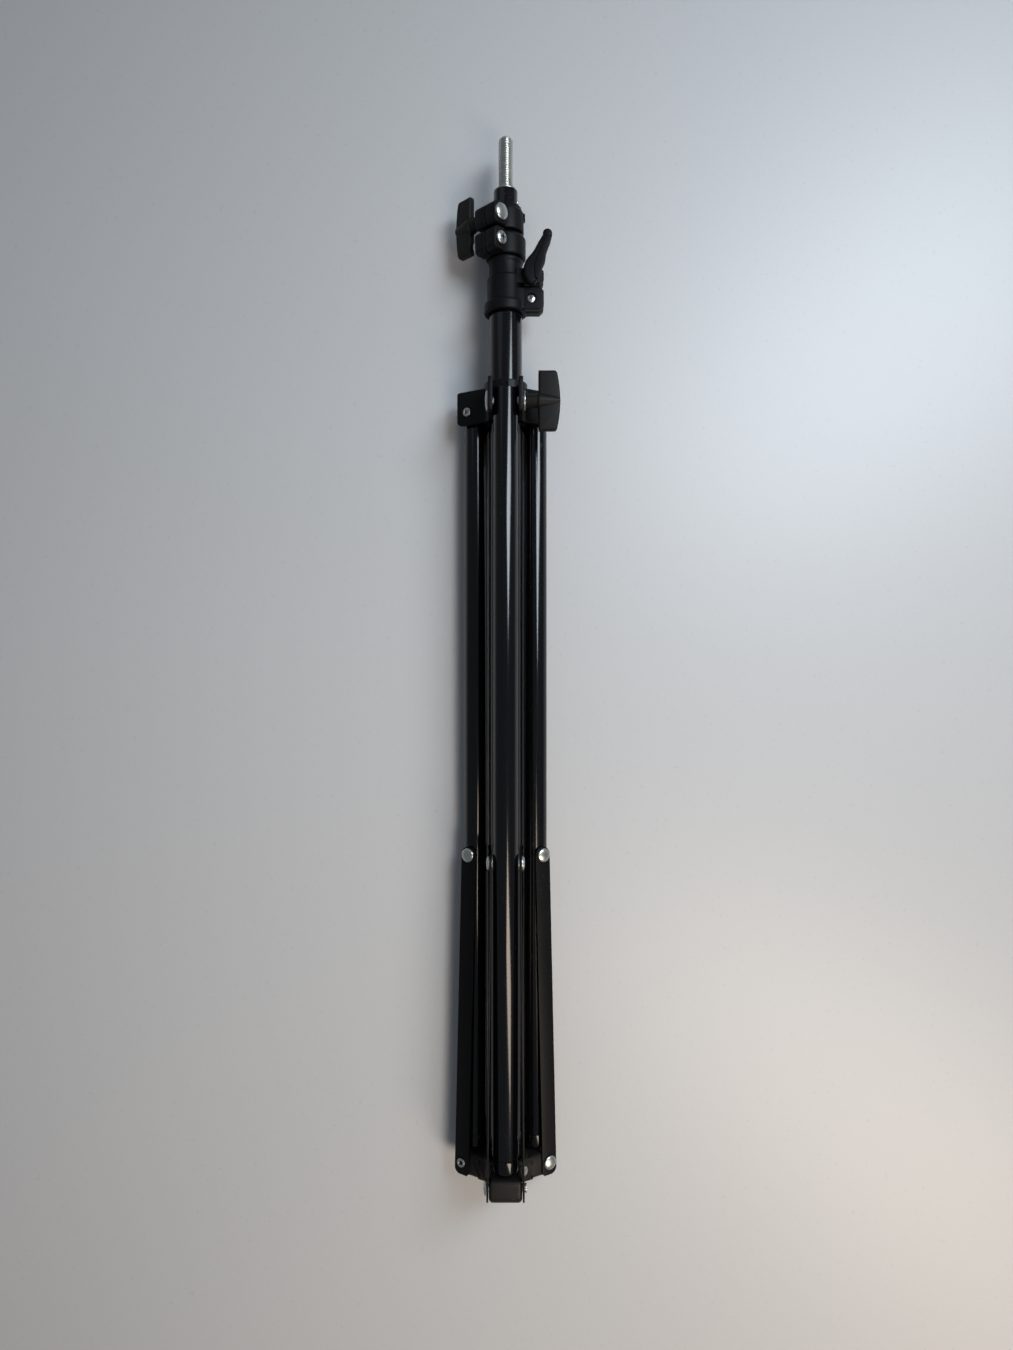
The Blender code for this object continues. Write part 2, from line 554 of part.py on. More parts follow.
def brace(name, frame):
    hinge = empty(f"brace_{name}_hinge", frame, (0, HUB_PIVOT, HUB_PIVOT_R), (BRACE_TILT, 0, 0))
    for side, sign in (("plus", 1), ("minus", -1)):
        middle = sign * (STRAP_HUB_FACE - STRAP_WALL / 2)
        strap = plate(f"brace_{name}_strap_{side}", strap_outline(), STRAP_WALL, BLACK_STEEL, hinge,
                      (middle, 0, 0))
        strap.rotation_euler = (Matrix.Rotation(sign * STRAP_FLARE, 3, "Z")
                                @ OTHER_SIDE.to_matrix()).to_euler()
        low = rod(f"brace_{name}_{side}_low_hole", PIN_R + PIN_PLAY, -20 * MM, 20 * MM, hinge,
                  (0, 0, 0))
        high = rod(f"brace_{name}_{side}_high_hole", PIN_R + PIN_PLAY, -20 * MM, 20 * MM, hinge,
                   (0, BRACE_LENGTH, 0))
        cut(strap, low, high)
        face = STRAP_TOP_FACE + GAP
        inner = STRAP_TOP_FACE - STRAP_WALL - GAP
        profile = dome(RIVET_HEAD_R, face, RIVET_HEAD) + [
            (PIN_R, face), (PIN_R, inner), (RIVET_HEAD_R, inner),
            (RIVET_HEAD_R, RIVET_FLANGE_FACE), (0, RIVET_FLANGE_FACE)]
        turned(f"brace_{name}_rivet_{side}", profile, ZINC, hinge, (0, BRACE_LENGTH, 0),
               SIDEWAYS if sign > 0 else OTHER_SIDE, 12)
    through_rivet(f"hub_{name}_rivet", STRAP_HUB_FACE + GAP, frame, (0, HUB_PIVOT, HUB_PIVOT_R))


# ---- collars ----
def clamp_bolt(name, head_r, head, bolt_r, start, end, finish, frame, place, turn, steps=16):
    """A domed bolt head at start and its shank down to end, along the turned local Z."""
    profile = dome(head_r, start, head) + [(bolt_r, start), (bolt_r, end), (0, end)]
    return turned(name, profile, finish, frame, place, turn, steps)


def lever_collar():
    """One moulding on top of the outer tube: a fixed lower half and the half the lever clamps."""
    seat = TUBE_TOP + SEAT_ABOVE_TUBE
    bore, throat = OUTER_R + GAP, MIDDLE_R + GAP
    lip = THROAT_R + THROAT_LIP
    profile = [(lip - THROAT_LIP, THROAT_TOP), (lip, THROAT_TOP - THROAT_LIP),
               (lip, THROAT_TOP - 2 * MM), (THROAT_R, THROAT_TOP - 2.5 * MM),
               (THROAT_R, SLEEVE_TOP + 0.6 * MM), (SLEEVE_R - 0.6 * MM, SLEEVE_TOP + 0.6 * MM),
               (SLEEVE_R, SLEEVE_TOP), (SLEEVE_R, FLANGE_TOP + 0.6 * MM),
               (FLANGE_R - 0.6 * MM, FLANGE_TOP + 0.6 * MM), (FLANGE_R, FLANGE_TOP),
               (FLANGE_R, FLANGE_BOTTOM + 1 * MM), (FLANGE_R - 1 * MM, FLANGE_BOTTOM),
               (0, FLANGE_BOTTOM)]
    body = turned("lever_collar", [(0, THROAT_TOP)] + profile, BLACK_PLASTIC, stand,
                  turn=ALONG_MAST, steps=32)
    for label, bottom, top in (("lower", FLANGE_BOTTOM + GAP, LOWER_EAR_TOP),
                               ("upper", UPPER_EAR_BOTTOM, UPPER_EAR_TOP)):
        out, corner = LEVER_EAR_OUT, 2.5 * MM
        start = 5.0 * MM
        outline = [(start, bottom), (out - corner, bottom), (out, bottom + corner),
                   (out, top - corner), (out - corner, top), (start, top)]
        middle = (LEVER_EAR_FRONT + LEVER_EAR_BACK) / 2
        ear = plate(f"lever_{label}_ear", outline, LEVER_EAR_FRONT - LEVER_EAR_BACK, None, stand,
                    (0, 0, middle), OUTWARD, cutters)
        join(body, ear)
    over = 5 * MM
    cut(body, turned("lever_collar_bore", [(0, THROAT_TOP + over), (throat, THROAT_TOP + over),
                                           (throat, seat), (bore, seat),
                                           (bore, FLANGE_BOTTOM - over), (0, FLANGE_BOTTOM - over)],
                     None, stand, turn=ALONG_MAST, steps=32, collection=cutters))
    split_low, split_high = LEVER_SPLIT - SLOT / 2, LEVER_SPLIT + SLOT / 2
    cut(body, block("lever_split", (6 * MM, FLANGE_BOTTOM - GAP, split_low),
                    (LEVER_EAR_OUT * 1.1, UPPER_EAR_TOP + GAP, split_high), None, stand, cutters))
    low_y = (FLANGE_BOTTOM + LOWER_EAR_TOP) / 2
    recess = 1.6 * MM
    hole, deep, high = LEVER_BOLT_R + GAP, -20 * MM, 20 * MM
    floor = LEVER_EAR_FRONT - recess
    profile = [(0, high), (RECESS_R, high), (RECESS_R, floor), (hole, floor), (hole, deep),
               (0, deep)]
    cut(body, turned("lever_lower_bolt_hole", profile, None, stand, (LEVER_BOLT_OUT, low_y, 0),
                     steps=20, collection=cutters),
        rod("lever_upper_bolt_hole", hole, deep, high, stand, (LEVER_BOLT_OUT, LEVER_PIVOT, 0),
            OUTWARD))
    back = LEVER_EAR_BACK - GAP
    nut = 2.6 * MM
    clamp_bolt("lever_collar_screw", SCREW_HEAD_R, 1.2 * MM, LEVER_BOLT_R,
               LEVER_EAR_FRONT - recess + GAP, back - nut - 0.8 * MM, ZINC, stand,
               (LEVER_BOLT_OUT, low_y, 0), OUTWARD)
    hub_top = LEVER_EAR_FRONT + GAP + LEVER_THICK
    clamp_bolt("lever_bolt", SCREW_HEAD_R, 1.2 * MM, LEVER_BOLT_R, hub_top + GAP,
               back - nut - 0.8 * MM, ZINC, stand, (LEVER_BOLT_OUT, LEVER_PIVOT, 0), OUTWARD)
    for name, height in (("lever_collar_nut", low_y), ("lever_bolt_nut", LEVER_PIVOT)):
        hex_nut(name, LEVER_NUT_R, LEVER_BOLT_R + GAP, back - nut, back, stand,
                (LEVER_BOLT_OUT, height, 0), (0, 0, math.pi / 6))


def hex_nut(name, across, bore, start, end, frame, place, turn):
    """A six-sided nut, its hole six-sided too, between two places on the turned local Z."""
    bore /= math.cos(math.pi / 6)
    turned(name, [(across, end), (across, start), (bore, start), (bore, end)], ZINC, frame, place,
           turn, 6, closed=True)


def clamp_lever():
    """A comma-shaped lever: a round hub on its bolt and an arm that narrows to a round tip."""
    pivot = empty("lever_hinge", stand, (LEVER_BOLT_OUT, LEVER_PIVOT, LEVER_EAR_FRONT + GAP))
    pivot.rotation_euler = (0, 0, math.radians(-LEVER_LEAN))
    tip = arc((0, LEVER_LENGTH), LEVER_TIP_R, -10, 190, 8)
    hub_side = arc((0, 0), LEVER_HUB_R, 155, 385, 12)
    outline = tip + [(-LEVER_TIP_R * 1.3, LEVER_LENGTH * 0.62), (-LEVER_HUB_R, LEVER_HUB_R)]
    outline += hub_side + [(LEVER_TIP_R * 1.25, LEVER_LENGTH * 0.5)]
    lever = plate("clamp_lever", outline, LEVER_THICK, BLACK_PLASTIC, pivot,
                  (0, 0, LEVER_THICK / 2))
    cut(lever, rod("clamp_lever_bore", LEVER_BOLT_R + GAP, -LEVER_THICK, 2 * LEVER_THICK, pivot,
                   (0, 0, 0), OUTWARD))


def collar_half(name, bottom, top, radius, crown):
    """One half of the upper collar, still solid: a sleeve with two ears beside its bolt."""
    profile = [*crown, (radius, bottom + COLLAR_BEVEL), (radius - COLLAR_BEVEL, bottom), (0, bottom)]
    body = turned(name, profile, BLACK_PLASTIC, clamp_frame, turn=ALONG_MAST, steps=32)
    thick = 2 * COLLAR_EAR_THICK + SLOT
    ears = block(f"{name}_ears", (-thick / 2, bottom + GAP / 2, 0),
                 (thick / 2, top - GAP / 2, COLLAR_EAR_OUT), None, clamp_frame, cutters)
    return join(body, ears)


def upper_collar():
    """Two clamp halves joined behind by a web: the lower on the middle tube, the upper on the top."""
    lower_r, upper_r, over = COLLAR_LOWER_R, COLLAR_UPPER_R, 5 * MM
    body = collar_half("upper_collar", COLLAR_BOTTOM, COLLAR_SPLIT, lower_r,
                       [(0, COLLAR_SPLIT), (lower_r - COLLAR_BEVEL, COLLAR_SPLIT),
                        (lower_r, COLLAR_SPLIT - COLLAR_BEVEL)])
    crown_top = COLLAR_TOP + COLLAR_SHOULDER
    upper = collar_half("upper_collar_clamp", COLLAR_UPPER, COLLAR_TOP, upper_r,
                        [(0, crown_top), (TOP_R + GAP + 2 * MM, crown_top), (upper_r, COLLAR_TOP)])
    web = rod("upper_collar_web", upper_r - 0.5 * MM, COLLAR_SPLIT - GAP, COLLAR_UPPER + GAP,
              clamp_frame, (0, 0, 0), ALONG_MAST, 32)
    wide = lower_r * 2
    cut(web, block("web_opening", (-wide, COLLAR_SPLIT - over, -upper_r * COLLAR_WEB),
                   (wide, COLLAR_UPPER + over, wide), None, clamp_frame, cutters))
    join(body, web, move_to_cutters(upper))
    step = (COLLAR_SPLIT + COLLAR_UPPER) / 2
    middle_bore, top_bore = MIDDLE_R + GAP, TOP_R + GAP
    bore = turned("upper_collar_bore", [(0, crown_top + over), (top_bore, crown_top + over),
                                        (top_bore, step), (middle_bore, step),
                                        (middle_bore, COLLAR_BOTTOM - over),
                                        (0, COLLAR_BOTTOM - over)],
                  None, clamp_frame, turn=ALONG_MAST, steps=32, collection=cutters)
    split = block("collar_split", (-SLOT / 2, COLLAR_BOTTOM - 2 * over, 0),
                  (SLOT / 2, crown_top + 2 * over, COLLAR_EAR_OUT * 1.2), None, clamp_frame, cutters)
    high = (COLLAR_UPPER + COLLAR_TOP) / 2
    low = (COLLAR_BOTTOM + COLLAR_SPLIT) / 2
    holes = [rod(f"collar_{label}_bolt_hole", CLAMP_BOLT_R + GAP, -30 * MM, 30 * MM, clamp_frame,
                 (0, height, COLLAR_BOLT_OUT)) for label, height in (("high", high), ("low", low))]
    cut(body, join(bore, split, *holes))
    face = COLLAR_EAR_FACE
    clamp_bolt("carriage_bolt", CARRIAGE_HEAD_R, 2.4 * MM, CLAMP_BOLT_R, face,
               -face - KNOB_BORE + 1.5 * MM, ZINC, clamp_frame, (0, high, COLLAR_BOLT_OUT),
               SIDEWAYS, 20)
    nut = 3.0 * MM
    clamp_bolt("clamp_screw", CLAMP_HEAD_R, 2.2 * MM, CLAMP_BOLT_R, face, -face - nut - 1 * MM,
               ZINC, clamp_frame, (0, low, COLLAR_BOLT_OUT), SIDEWAYS)
    hex_nut("clamp_nut", 4.2 * MM, CLAMP_BOLT_R + GAP, face, face + nut, clamp_frame,
            (0, low, COLLAR_BOLT_OUT), OTHER_SIDE)


def move_to_cutters(piece):
    for home in list(piece.users_collection):
        home.objects.unlink(piece)
    cutters.objects.link(piece)
    return piece


# ---- wing knobs ----
def wing_knob(name, bore, frame, place, turn):
    """A T-shaped knob. Local Z is its axis, from the boss face outwards, and the wing is along Y."""
    pivot = empty(f"{name}_hinge", frame, place, turn)
    half = WING_SPAN / 2
    bulge = [(KNOB_BOSS + WING_DEPTH - WING_BULGE * (y / half) ** 2 - 0.2 * MM, y)
             for y in (half * (1 - 0.25 * i) for i in range(1, 8))]
    corner = WING_DEPTH - 1.5 * WING_BULGE
    outline = [(KNOB_BOSS, -half), (KNOB_BOSS + corner - 1.5 * MM, -half),
               (KNOB_BOSS + corner, -half + 1.5 * MM), *reversed(bulge),
               (KNOB_BOSS + corner, half - 1.5 * MM), (KNOB_BOSS + corner - 1.5 * MM, half),
               (KNOB_BOSS, half)]
    wing = plate(f"{name}_wing", outline, WING_THICK, None, pivot, (0, 0, 0), OTHER_SIDE, cutters)
    end = KNOB_BOSS + WING_DEPTH - 0.2 * MM
    body = turned(name, [(0, end), (KNOB_CONE_R1, end), (KNOB_CONE_R0, KNOB_BOSS),
                         (KNOB_BOSS_R, KNOB_BOSS), (KNOB_BOSS_R, 0), (0, 0)], BLACK_PLASTIC, pivot)
    join(body, wing)
    cut(body, rod(f"{name}_bore", bore + GAP, -1 * MM, KNOB_BORE, pivot, (0, 0, 0), OUTWARD))
    return body


leg_frames = {name: empty(f"leg_{name}_frame", stand, turn=(0, math.radians(angle), 0))
              for name, angle in LEG_ANGLES.items()}
clamp_frame = empty("upper_collar_frame", stand, turn=(0, math.radians(COLLAR_ANGLE), 0))

mast()
stud()
hub(end_cap())
spider()
pivot_pins()
for leg_name, leg_frame in leg_frames.items():
    leg(leg_name, leg_frame)
    brace(leg_name, leg_frame)
lever_collar()
clamp_lever()
upper_collar()
wing_knob("spider_knob", SPIDER_BOLT_R, leg_frames["front"],
          (SPIDER_EAR_OUTER + 2 * GAP + WASHER, LEG_PIVOT, LEG_OFFSET), SIDEWAYS)
wing_knob("collar_knob", CLAMP_BOLT_R, clamp_frame,
          (-COLLAR_EAR_FACE, (COLLAR_UPPER + COLLAR_TOP) / 2, COLLAR_BOLT_OUT),
          OTHER_SIDE)
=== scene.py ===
"""Folding lighting stand, folded and lying on a pale table: its looks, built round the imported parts."""
import json
import math

import bmesh
import bpy
import numpy as np
from bpy.props import FloatProperty, FloatVectorProperty, PointerProperty
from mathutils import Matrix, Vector


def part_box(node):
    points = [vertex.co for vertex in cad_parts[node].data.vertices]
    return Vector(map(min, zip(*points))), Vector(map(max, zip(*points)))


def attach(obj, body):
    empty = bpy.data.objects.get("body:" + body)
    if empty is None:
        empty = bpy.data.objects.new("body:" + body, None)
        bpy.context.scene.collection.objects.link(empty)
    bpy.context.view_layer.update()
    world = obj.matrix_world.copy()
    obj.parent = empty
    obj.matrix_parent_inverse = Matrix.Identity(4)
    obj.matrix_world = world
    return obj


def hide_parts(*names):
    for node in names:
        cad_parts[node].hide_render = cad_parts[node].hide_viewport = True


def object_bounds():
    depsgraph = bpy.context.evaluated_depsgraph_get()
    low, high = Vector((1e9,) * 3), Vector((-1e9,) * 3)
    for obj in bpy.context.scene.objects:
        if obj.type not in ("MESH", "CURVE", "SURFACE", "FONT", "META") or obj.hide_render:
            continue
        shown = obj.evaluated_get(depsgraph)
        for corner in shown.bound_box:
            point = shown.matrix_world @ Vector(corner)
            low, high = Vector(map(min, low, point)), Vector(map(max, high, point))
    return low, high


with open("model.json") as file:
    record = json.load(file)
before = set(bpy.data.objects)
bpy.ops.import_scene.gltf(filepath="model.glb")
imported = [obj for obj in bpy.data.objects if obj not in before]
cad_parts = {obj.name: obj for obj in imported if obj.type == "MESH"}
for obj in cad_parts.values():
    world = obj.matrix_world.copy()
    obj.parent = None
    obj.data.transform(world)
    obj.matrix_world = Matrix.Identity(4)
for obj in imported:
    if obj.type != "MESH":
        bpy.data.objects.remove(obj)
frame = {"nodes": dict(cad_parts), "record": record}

bl_info = {
    "name": "Folding Lighting Stand",
    "version": (1, 0, 0),
    "blender": (4, 5, 0),
    "location": "View3D > Sidebar > Stand",
    "description": "Builds the finished surfaces of a folded three-section lighting stand",
    "category": "Object",
}

MM = 0.001
CAD_BOX = [list(corner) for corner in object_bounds()]
TUBE_WALL = 1.0 * MM
GAP = 0.3 * MM                                        # clearance between pieces that touch
LEG_R = 8.0 * MM
SLIT = 0.5 * MM                                       # half of the relief between a clamp's two ears
STRAP_WALL = 1.2 * MM
PIN_R = 2.5 * MM                                      # shank of every rivet
RIVET_R, RIVET_HEIGHT = 4.6 * MM, 2.0 * MM            # rivet heads
TAIL_R, TAIL_HEIGHT = 2.9 * MM, 1.1 * MM              # rolled rivet tails
SPIDER_BOLT_R = 3.0 * MM
WASHER = 1.2 * MM
RING_R = 14.5 * MM                                    # outside of the spider's sleeve
LEGS = {"front": 0.0, "right": 120.0, "left": 240.0}


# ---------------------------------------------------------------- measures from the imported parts
def span(node, axis):
    """Lowest and highest place of a CAD node along one axis (0, 1 or 2)."""
    low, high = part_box(node)
    return low[axis], high[axis]


def middle(node):
    """Centre of a CAD node's box."""
    low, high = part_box(node)
    return np.array([(a + b) / 2 for a, b in zip(low, high)])


AXIS = middle("outer_mast_tube") * [1, 0, 1]          # a point on the mast's axis
END = CAD_BOX[0][1]                                   # the end cap's face


def tube_radius(node):
    low, high = span(node, 0)
    return (high - low) / 2


class Axes:
    """A place with three directions. at() puts points given along them into the row frame."""

    def __init__(self, origin, u, v, w):
        self.origin = np.array(origin, float)
        self.turn = np.array([u, v, w], float)

    def at(self, points):
        return np.asarray(points, float) @ self.turn + self.origin

    def shifted(self, u=0.0, v=0.0, w=0.0):
        return Axes(self.at([u, v, w]), *self.turn)

    def spun(self, degrees):
        """The same place with u turned towards v."""
        c, s = math.cos(math.radians(degrees)), math.sin(math.radians(degrees))
        u, v, w = self.turn
        return Axes(self.origin, c * u + s * v, c * v - s * u, w)


def row_axes(origin):
    """u, v and w along the row's own X, Y and Z."""
    return Axes(origin, (1, 0, 0), (0, 1, 0), (0, 0, 1))


def mast_axes(y=0.0):
    """w along the mast from the end cap's face, u to the right and v up."""
    return Axes(AXIS + [0, END + y, 0], (1, 0, 0), (0, 0, 1), (0, 1, 0))


def leg_directions(angle):
    """Away from the mast, and sideways, for a leg at that angle round the mast."""
    a = math.radians(angle)
    out = np.array([math.sin(a), 0, math.cos(a)])
    side = np.array([math.cos(a), 0, -math.sin(a)])
    return out, side


# ---------------------------------------------------------------- surfaces
def grid_faces(rows, columns, wrap=True, first=0):
    """Quads between neighbouring rows of a grid, the last column joined to the first if it wraps."""
    across = columns if wrap else columns - 1
    i, j = np.meshgrid(np.arange(rows - 1), np.arange(across), indexing="ij")
    k = (j + 1) % columns
    quads = np.stack([i * columns + j, i * columns + k, (i + 1) * columns + k,
                      (i + 1) * columns + j], -1)
    return (quads.reshape(-1, 4) + first).tolist()


def looped_faces(rows, columns, wrap=True):
    """The same, with the last row joined to the first as well."""
    return (np.array(grid_faces(rows + 1, columns, wrap)) % (rows * columns)).tolist()


def capped_faces(rows, columns):
    """The same, with the first and the last row each closed by one flat face."""
    return grid_faces(rows, columns) + [list(range(columns))[::-1],
                                        (np.arange(columns) + (rows - 1) * columns).tolist()]


def round_points(r, t, h):
    """x = r cos t, y = r sin t and z = h, as one list of points."""
    return np.stack([r * np.cos(t), r * np.sin(t), h + 0 * t], -1).reshape(-1, 3)


def rounded_rings(low, high, edge, pieces):
    """Inset and height of a flat piece's rings: near each face the inset is edge (1 - cos t) while the
    height stops edge (1 - sin t) short of the face."""
    t = np.linspace(math.pi / 2, 0, pieces + 1)
    inset, drop = edge * (1 - np.cos(t)), edge * (1 - np.sin(t))
    return np.concatenate([inset, inset[::-1]]), np.concatenate([low + drop, (high - drop)[::-1]])


def softened(profile, radius, pieces=4):
    """A line of points whose inner corners become short curves: at each corner the curve runs from the
    point a radius before it to the point a radius after it, as a quadratic with the corner as its
    middle control point. The radius is at most 0.45 of the shorter side."""
    p = np.asarray(profile, float)
    before, corner, after = p[:-2], p[1:-1], p[2:]
    d0, d1 = before - corner, after - corner
    l0 = np.linalg.norm(d0, axis=1, keepdims=True)
    l1 = np.linalg.norm(d1, axis=1, keepdims=True)
    r = np.minimum(np.minimum(radius, 0.45 * l0), 0.45 * l1)
    a, b = corner + d0 / l0 * r, corner + d1 / l1 * r
    s = np.linspace(0, 1, pieces + 1)[None, :, None]
    curve = (1 - s) ** 2 * a[:, None] + 2 * s * (1 - s) * corner[:, None] + s ** 2 * b[:, None]
    return np.vstack([p[:1], curve.reshape(-1, 2), p[-1:]])


def softened_ring(outline, radius, pieces=4):
    """The same for a closed outline."""
    p = np.asarray(outline, float)
    return softened(np.vstack([p[-1:], p, p[:1]]), radius, pieces)[1:-1]


def lathe(profile, axes, steps=64, closed=False, start=0.0, sweep=360.0):
    """A profile (radius, height) carried round w: x = r cos t, y = r sin t, z = height. Ends on the axis
    close in one point. A closed profile joins its last point to its first. Part of a turn gets its two
    ends closed by the profile itself."""
    p = np.asarray(profile, float)
    if closed:
        area = np.sum(p[:, 0] * np.roll(p[:, 1], -1) - np.roll(p[:, 0], -1) * p[:, 1])
        p = p if area > 0 else p[::-1]
    elif p[0, 1] > p[-1, 1]:
        p = p[::-1]
    whole = sweep >= 360.0
    count = steps if whole else steps + 1
    t = np.radians(start + sweep * np.arange(count) / steps)
    rows = len(p)
    faces = looped_faces(rows, count, whole) if closed else grid_faces(rows, count, whole)
    points = round_points(p[:, :1], t, p[:, 1:])
    if not whole:
        faces.append((np.arange(rows) * count).tolist())
        faces.append((np.arange(rows) * count + count - 1)[::-1].tolist())
    return axes.at(points), faces


def slab(outline, low, high, edge, axes, pieces=4):
    """A flat piece with rounded edges. The outline (u, v), run anticlockwise, is carried from w = low to
    w = high, and near each face it moves inwards along its own normal as in rounded_rings(). Both faces
    are flat."""
    o = np.asarray(outline, float)
    area = np.sum(o[:, 0] * np.roll(o[:, 1], -1) - np.roll(o[:, 0], -1) * o[:, 1])
    o = o if area > 0 else o[::-1]
    ahead, behind = np.roll(o, -1, 0) - o, o - np.roll(o, 1, 0)
    ahead /= np.linalg.norm(ahead, axis=1, keepdims=True)
    behind /= np.linalg.norm(behind, axis=1, keepdims=True)
    tangent = ahead + behind
    tangent /= np.linalg.norm(tangent, axis=1, keepdims=True)
    cosine = np.clip(np.sum(tangent * ahead, 1, keepdims=True), 0.5, 1)
    inward = np.stack([-tangent[:, 1], tangent[:, 0]], 1) / cosine
    inset, height = rounded_rings(low, high, edge, pieces)
    rings = o[None] + inward[None] * inset[:, None, None]
    w = np.broadcast_to(height[:, None, None], rings.shape[:2] + (1,))
    points = np.concatenate([rings, w], -1).reshape(-1, 3)
    return axes.at(points), capped_faces(*rings.shape[:2])


def seen_from(outline, centre, count):
    """The outline of a shape that is seen whole from a centre, taken again at even angles round it: the
    distance is interpolated over the angle between closely spaced points of each side."""
    o = np.asarray(outline, float) - centre
    s = np.linspace(0, 1, 40, endpoint=False)[None, :, None]
    dense = (o[:, None] * (1 - s) + np.roll(o, -1, 0)[:, None] * s).reshape(-1, 2)
    angle = np.arctan2(dense[:, 1], dense[:, 0])
    order = np.argsort(angle)
    t = np.linspace(-math.pi, math.pi, count, endpoint=False)
    r = np.interp(t, angle[order], np.hypot(*dense[order].T), period=2 * math.pi)
    return np.stack([r * np.cos(t), r * np.sin(t)], 1) + centre


def drilled(outline, centre, bore, low, high, edge, axes, count=96, pieces=4):
    """A flat piece with a round, stepped hole. Its skin is one closed tube of rings: up the rounded outer
    side as in slab(), across the upper face to the hole, and down the hole through the bore's
    (radius, height) steps to the lower face."""
    o = seen_from(outline, centre, count)
    tangent = np.roll(o, -1, 0) - np.roll(o, 1, 0)
    tangent /= np.linalg.norm(tangent, axis=1, keepdims=True)
    inward = np.stack([-tangent[:, 1], tangent[:, 0]], 1)
    inset, height = rounded_rings(low, high, edge, pieces)
    sides = o[None] + inward[None] * inset[:, None, None]
    b = np.asarray(bore, float)
    a = np.linspace(-math.pi, math.pi, count, endpoint=False)
    circle = np.stack([np.cos(a), np.sin(a)], 1)
    holes = b[:, :1, None] * circle[None] + centre
    rings = np.concatenate([sides, holes])
    w = np.concatenate([height, b[:, 1]])[:, None, None]
    points = np.concatenate([rings, np.broadcast_to(w, rings.shape[:2] + (1,))], -1).reshape(-1, 3)
    return axes.at(points), looped_faces(len(rings), count)


def threaded_rod(radius, depth, pitch, low, high, tip_radius, tip_length, axes, around=48, per_turn=14):
    """A screw thread: r = radius - depth * ridge, where ridge is 0 on the crest and 1 in the root and is
    half of one less the cosine of the phase height / pitch - angle / turn. The last tip_length narrows
    in a straight cone, the foot of the thread runs out, and both ends close flat."""
    rows = int((high - low) / pitch * per_turn)
    h = np.linspace(low, high, rows)[:, None]
    t = np.linspace(0, 2 * math.pi, around, endpoint=False)[None, :]
    ridge = (1 - np.cos(2 * math.pi * h / pitch - t)) / 2
    fade = np.clip((h - low) / (1.6 * pitch), 0, 1)
    cone = tip_radius + (radius - tip_radius) * np.clip((high - h) / tip_length, 0, 1)
    r = np.minimum(radius - depth * ridge * fade, cone)
    return axes.at(round_points(r, t, h)), capped_faces(rows, around)


def arc(centre, radius, start, end, pieces=8):
    """Points on a circle between two angles in degrees."""
    a = np.radians(np.linspace(start, end, pieces + 1))
    return np.stack([centre[0] + radius * np.cos(a), centre[1] + radius * np.sin(a)], 1)


def cap_profile(radius, base, height, pieces=8):
    """A domed head from its crown to its rim: (radius sin t, base + height cos t)."""
    a = np.linspace(0, math.pi / 2, pieces + 1)
    return np.stack([radius * np.sin(a), base + height * np.cos(a)], 1)


def cross_recess(size, depth, top, axes, waist=0.34, foot=0.35, around=64):
    """A Phillips recess drawn as a near-black star of painted shade that sits in a head's crown: four arms
    whose width follows |cos 2t| to a power, so that they meet in a narrow waist, narrowing to a foot at
    its depth."""
    t = np.linspace(0, 2 * math.pi, around, endpoint=False)
    r = size * (waist + (1 - waist) * np.abs(np.cos(2 * t)) ** 6)
    points = round_points(np.stack([foot * r, r]), t, np.array([[top - depth], [top]]))
    return axes.at(points), capped_faces(2, around)


# ---------------------------------------------------------------- pieces
def piece(name, shells, finishes, body, replaces=(), sharp=38.0):
    """One object from closed surfaces, each with its own finish, riding on a CAD body."""
    points, faces, which, first = [], [], [], 0
    for (co, poly), finish in shells:
        points.append(co)
        faces += [[v + first for v in face] for face in poly]
        which += [finish] * len(poly)
        first += len(co)
    mesh = bpy.data.meshes.new(name)
    mesh.from_pydata(np.vstack(points).tolist(), [], faces)
    mesh.polygons.foreach_set("material_index", which)
    for finish in finishes:
        mesh.materials.append(finish)
    outward(mesh)
    mesh.polygons.foreach_set("use_smooth", [True] * len(mesh.polygons))
    mesh.set_sharp_from_angle(angle=math.radians(sharp))
    mesh.update()
    obj = bpy.data.objects.new(name, mesh)
    bpy.context.scene.collection.objects.link(obj)
    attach(obj, body)
    if replaces:
        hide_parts(*replaces)
    return obj


def outward(mesh):
    """Point every closed surface's faces outwards."""
    shape = bmesh.new()
    shape.from_mesh(mesh)
    bmesh.ops.recalc_face_normals(shape, faces=shape.faces)
    shape.to_mesh(mesh)
    shape.free()


def body_of(node):
    """The body that a CAD node rides on."""
    return next(name for name, nodes in frame["record"]["behaviour"]["bodies"].items() if node in nodes)


def finished(node, shapes, finish, sharp=38.0):
    """The finished object of one CAD node, in one finish and on that node's own body."""
    return piece(node + "_finish", [(shape, 0) for shape in shapes], [finishes()[finish]],
                 body_of(node), [node], sharp)


# ---------------------------------------------------------------- finishes
class Sock:
    """A shader socket that takes part in Python sums."""

    def __init__(self, tree, socket):
        self.tree, self.socket = tree, socket

    def _maths(self, operation, a, b, clamp=False):
        node = self.tree.nodes.new("ShaderNodeMath")
        node.operation, node.use_clamp = operation, clamp
        for place, value in zip(node.inputs, (a, b)):
            link(self.tree, place, value)
        return Sock(self.tree, node.outputs[0])

    def __add__(self, other): return self._maths("ADD", self, other)
    def __radd__(self, other): return self._maths("ADD", other, self)
    def __sub__(self, other): return self._maths("SUBTRACT", self, other)
    def __rsub__(self, other): return self._maths("SUBTRACT", other, self)
    def __mul__(self, other): return self._maths("MULTIPLY", self, other)
    def __rmul__(self, other): return self._maths("MULTIPLY", other, self)

    def clamped(self):
        return self._maths("ADD", self, 0.0, clamp=True)


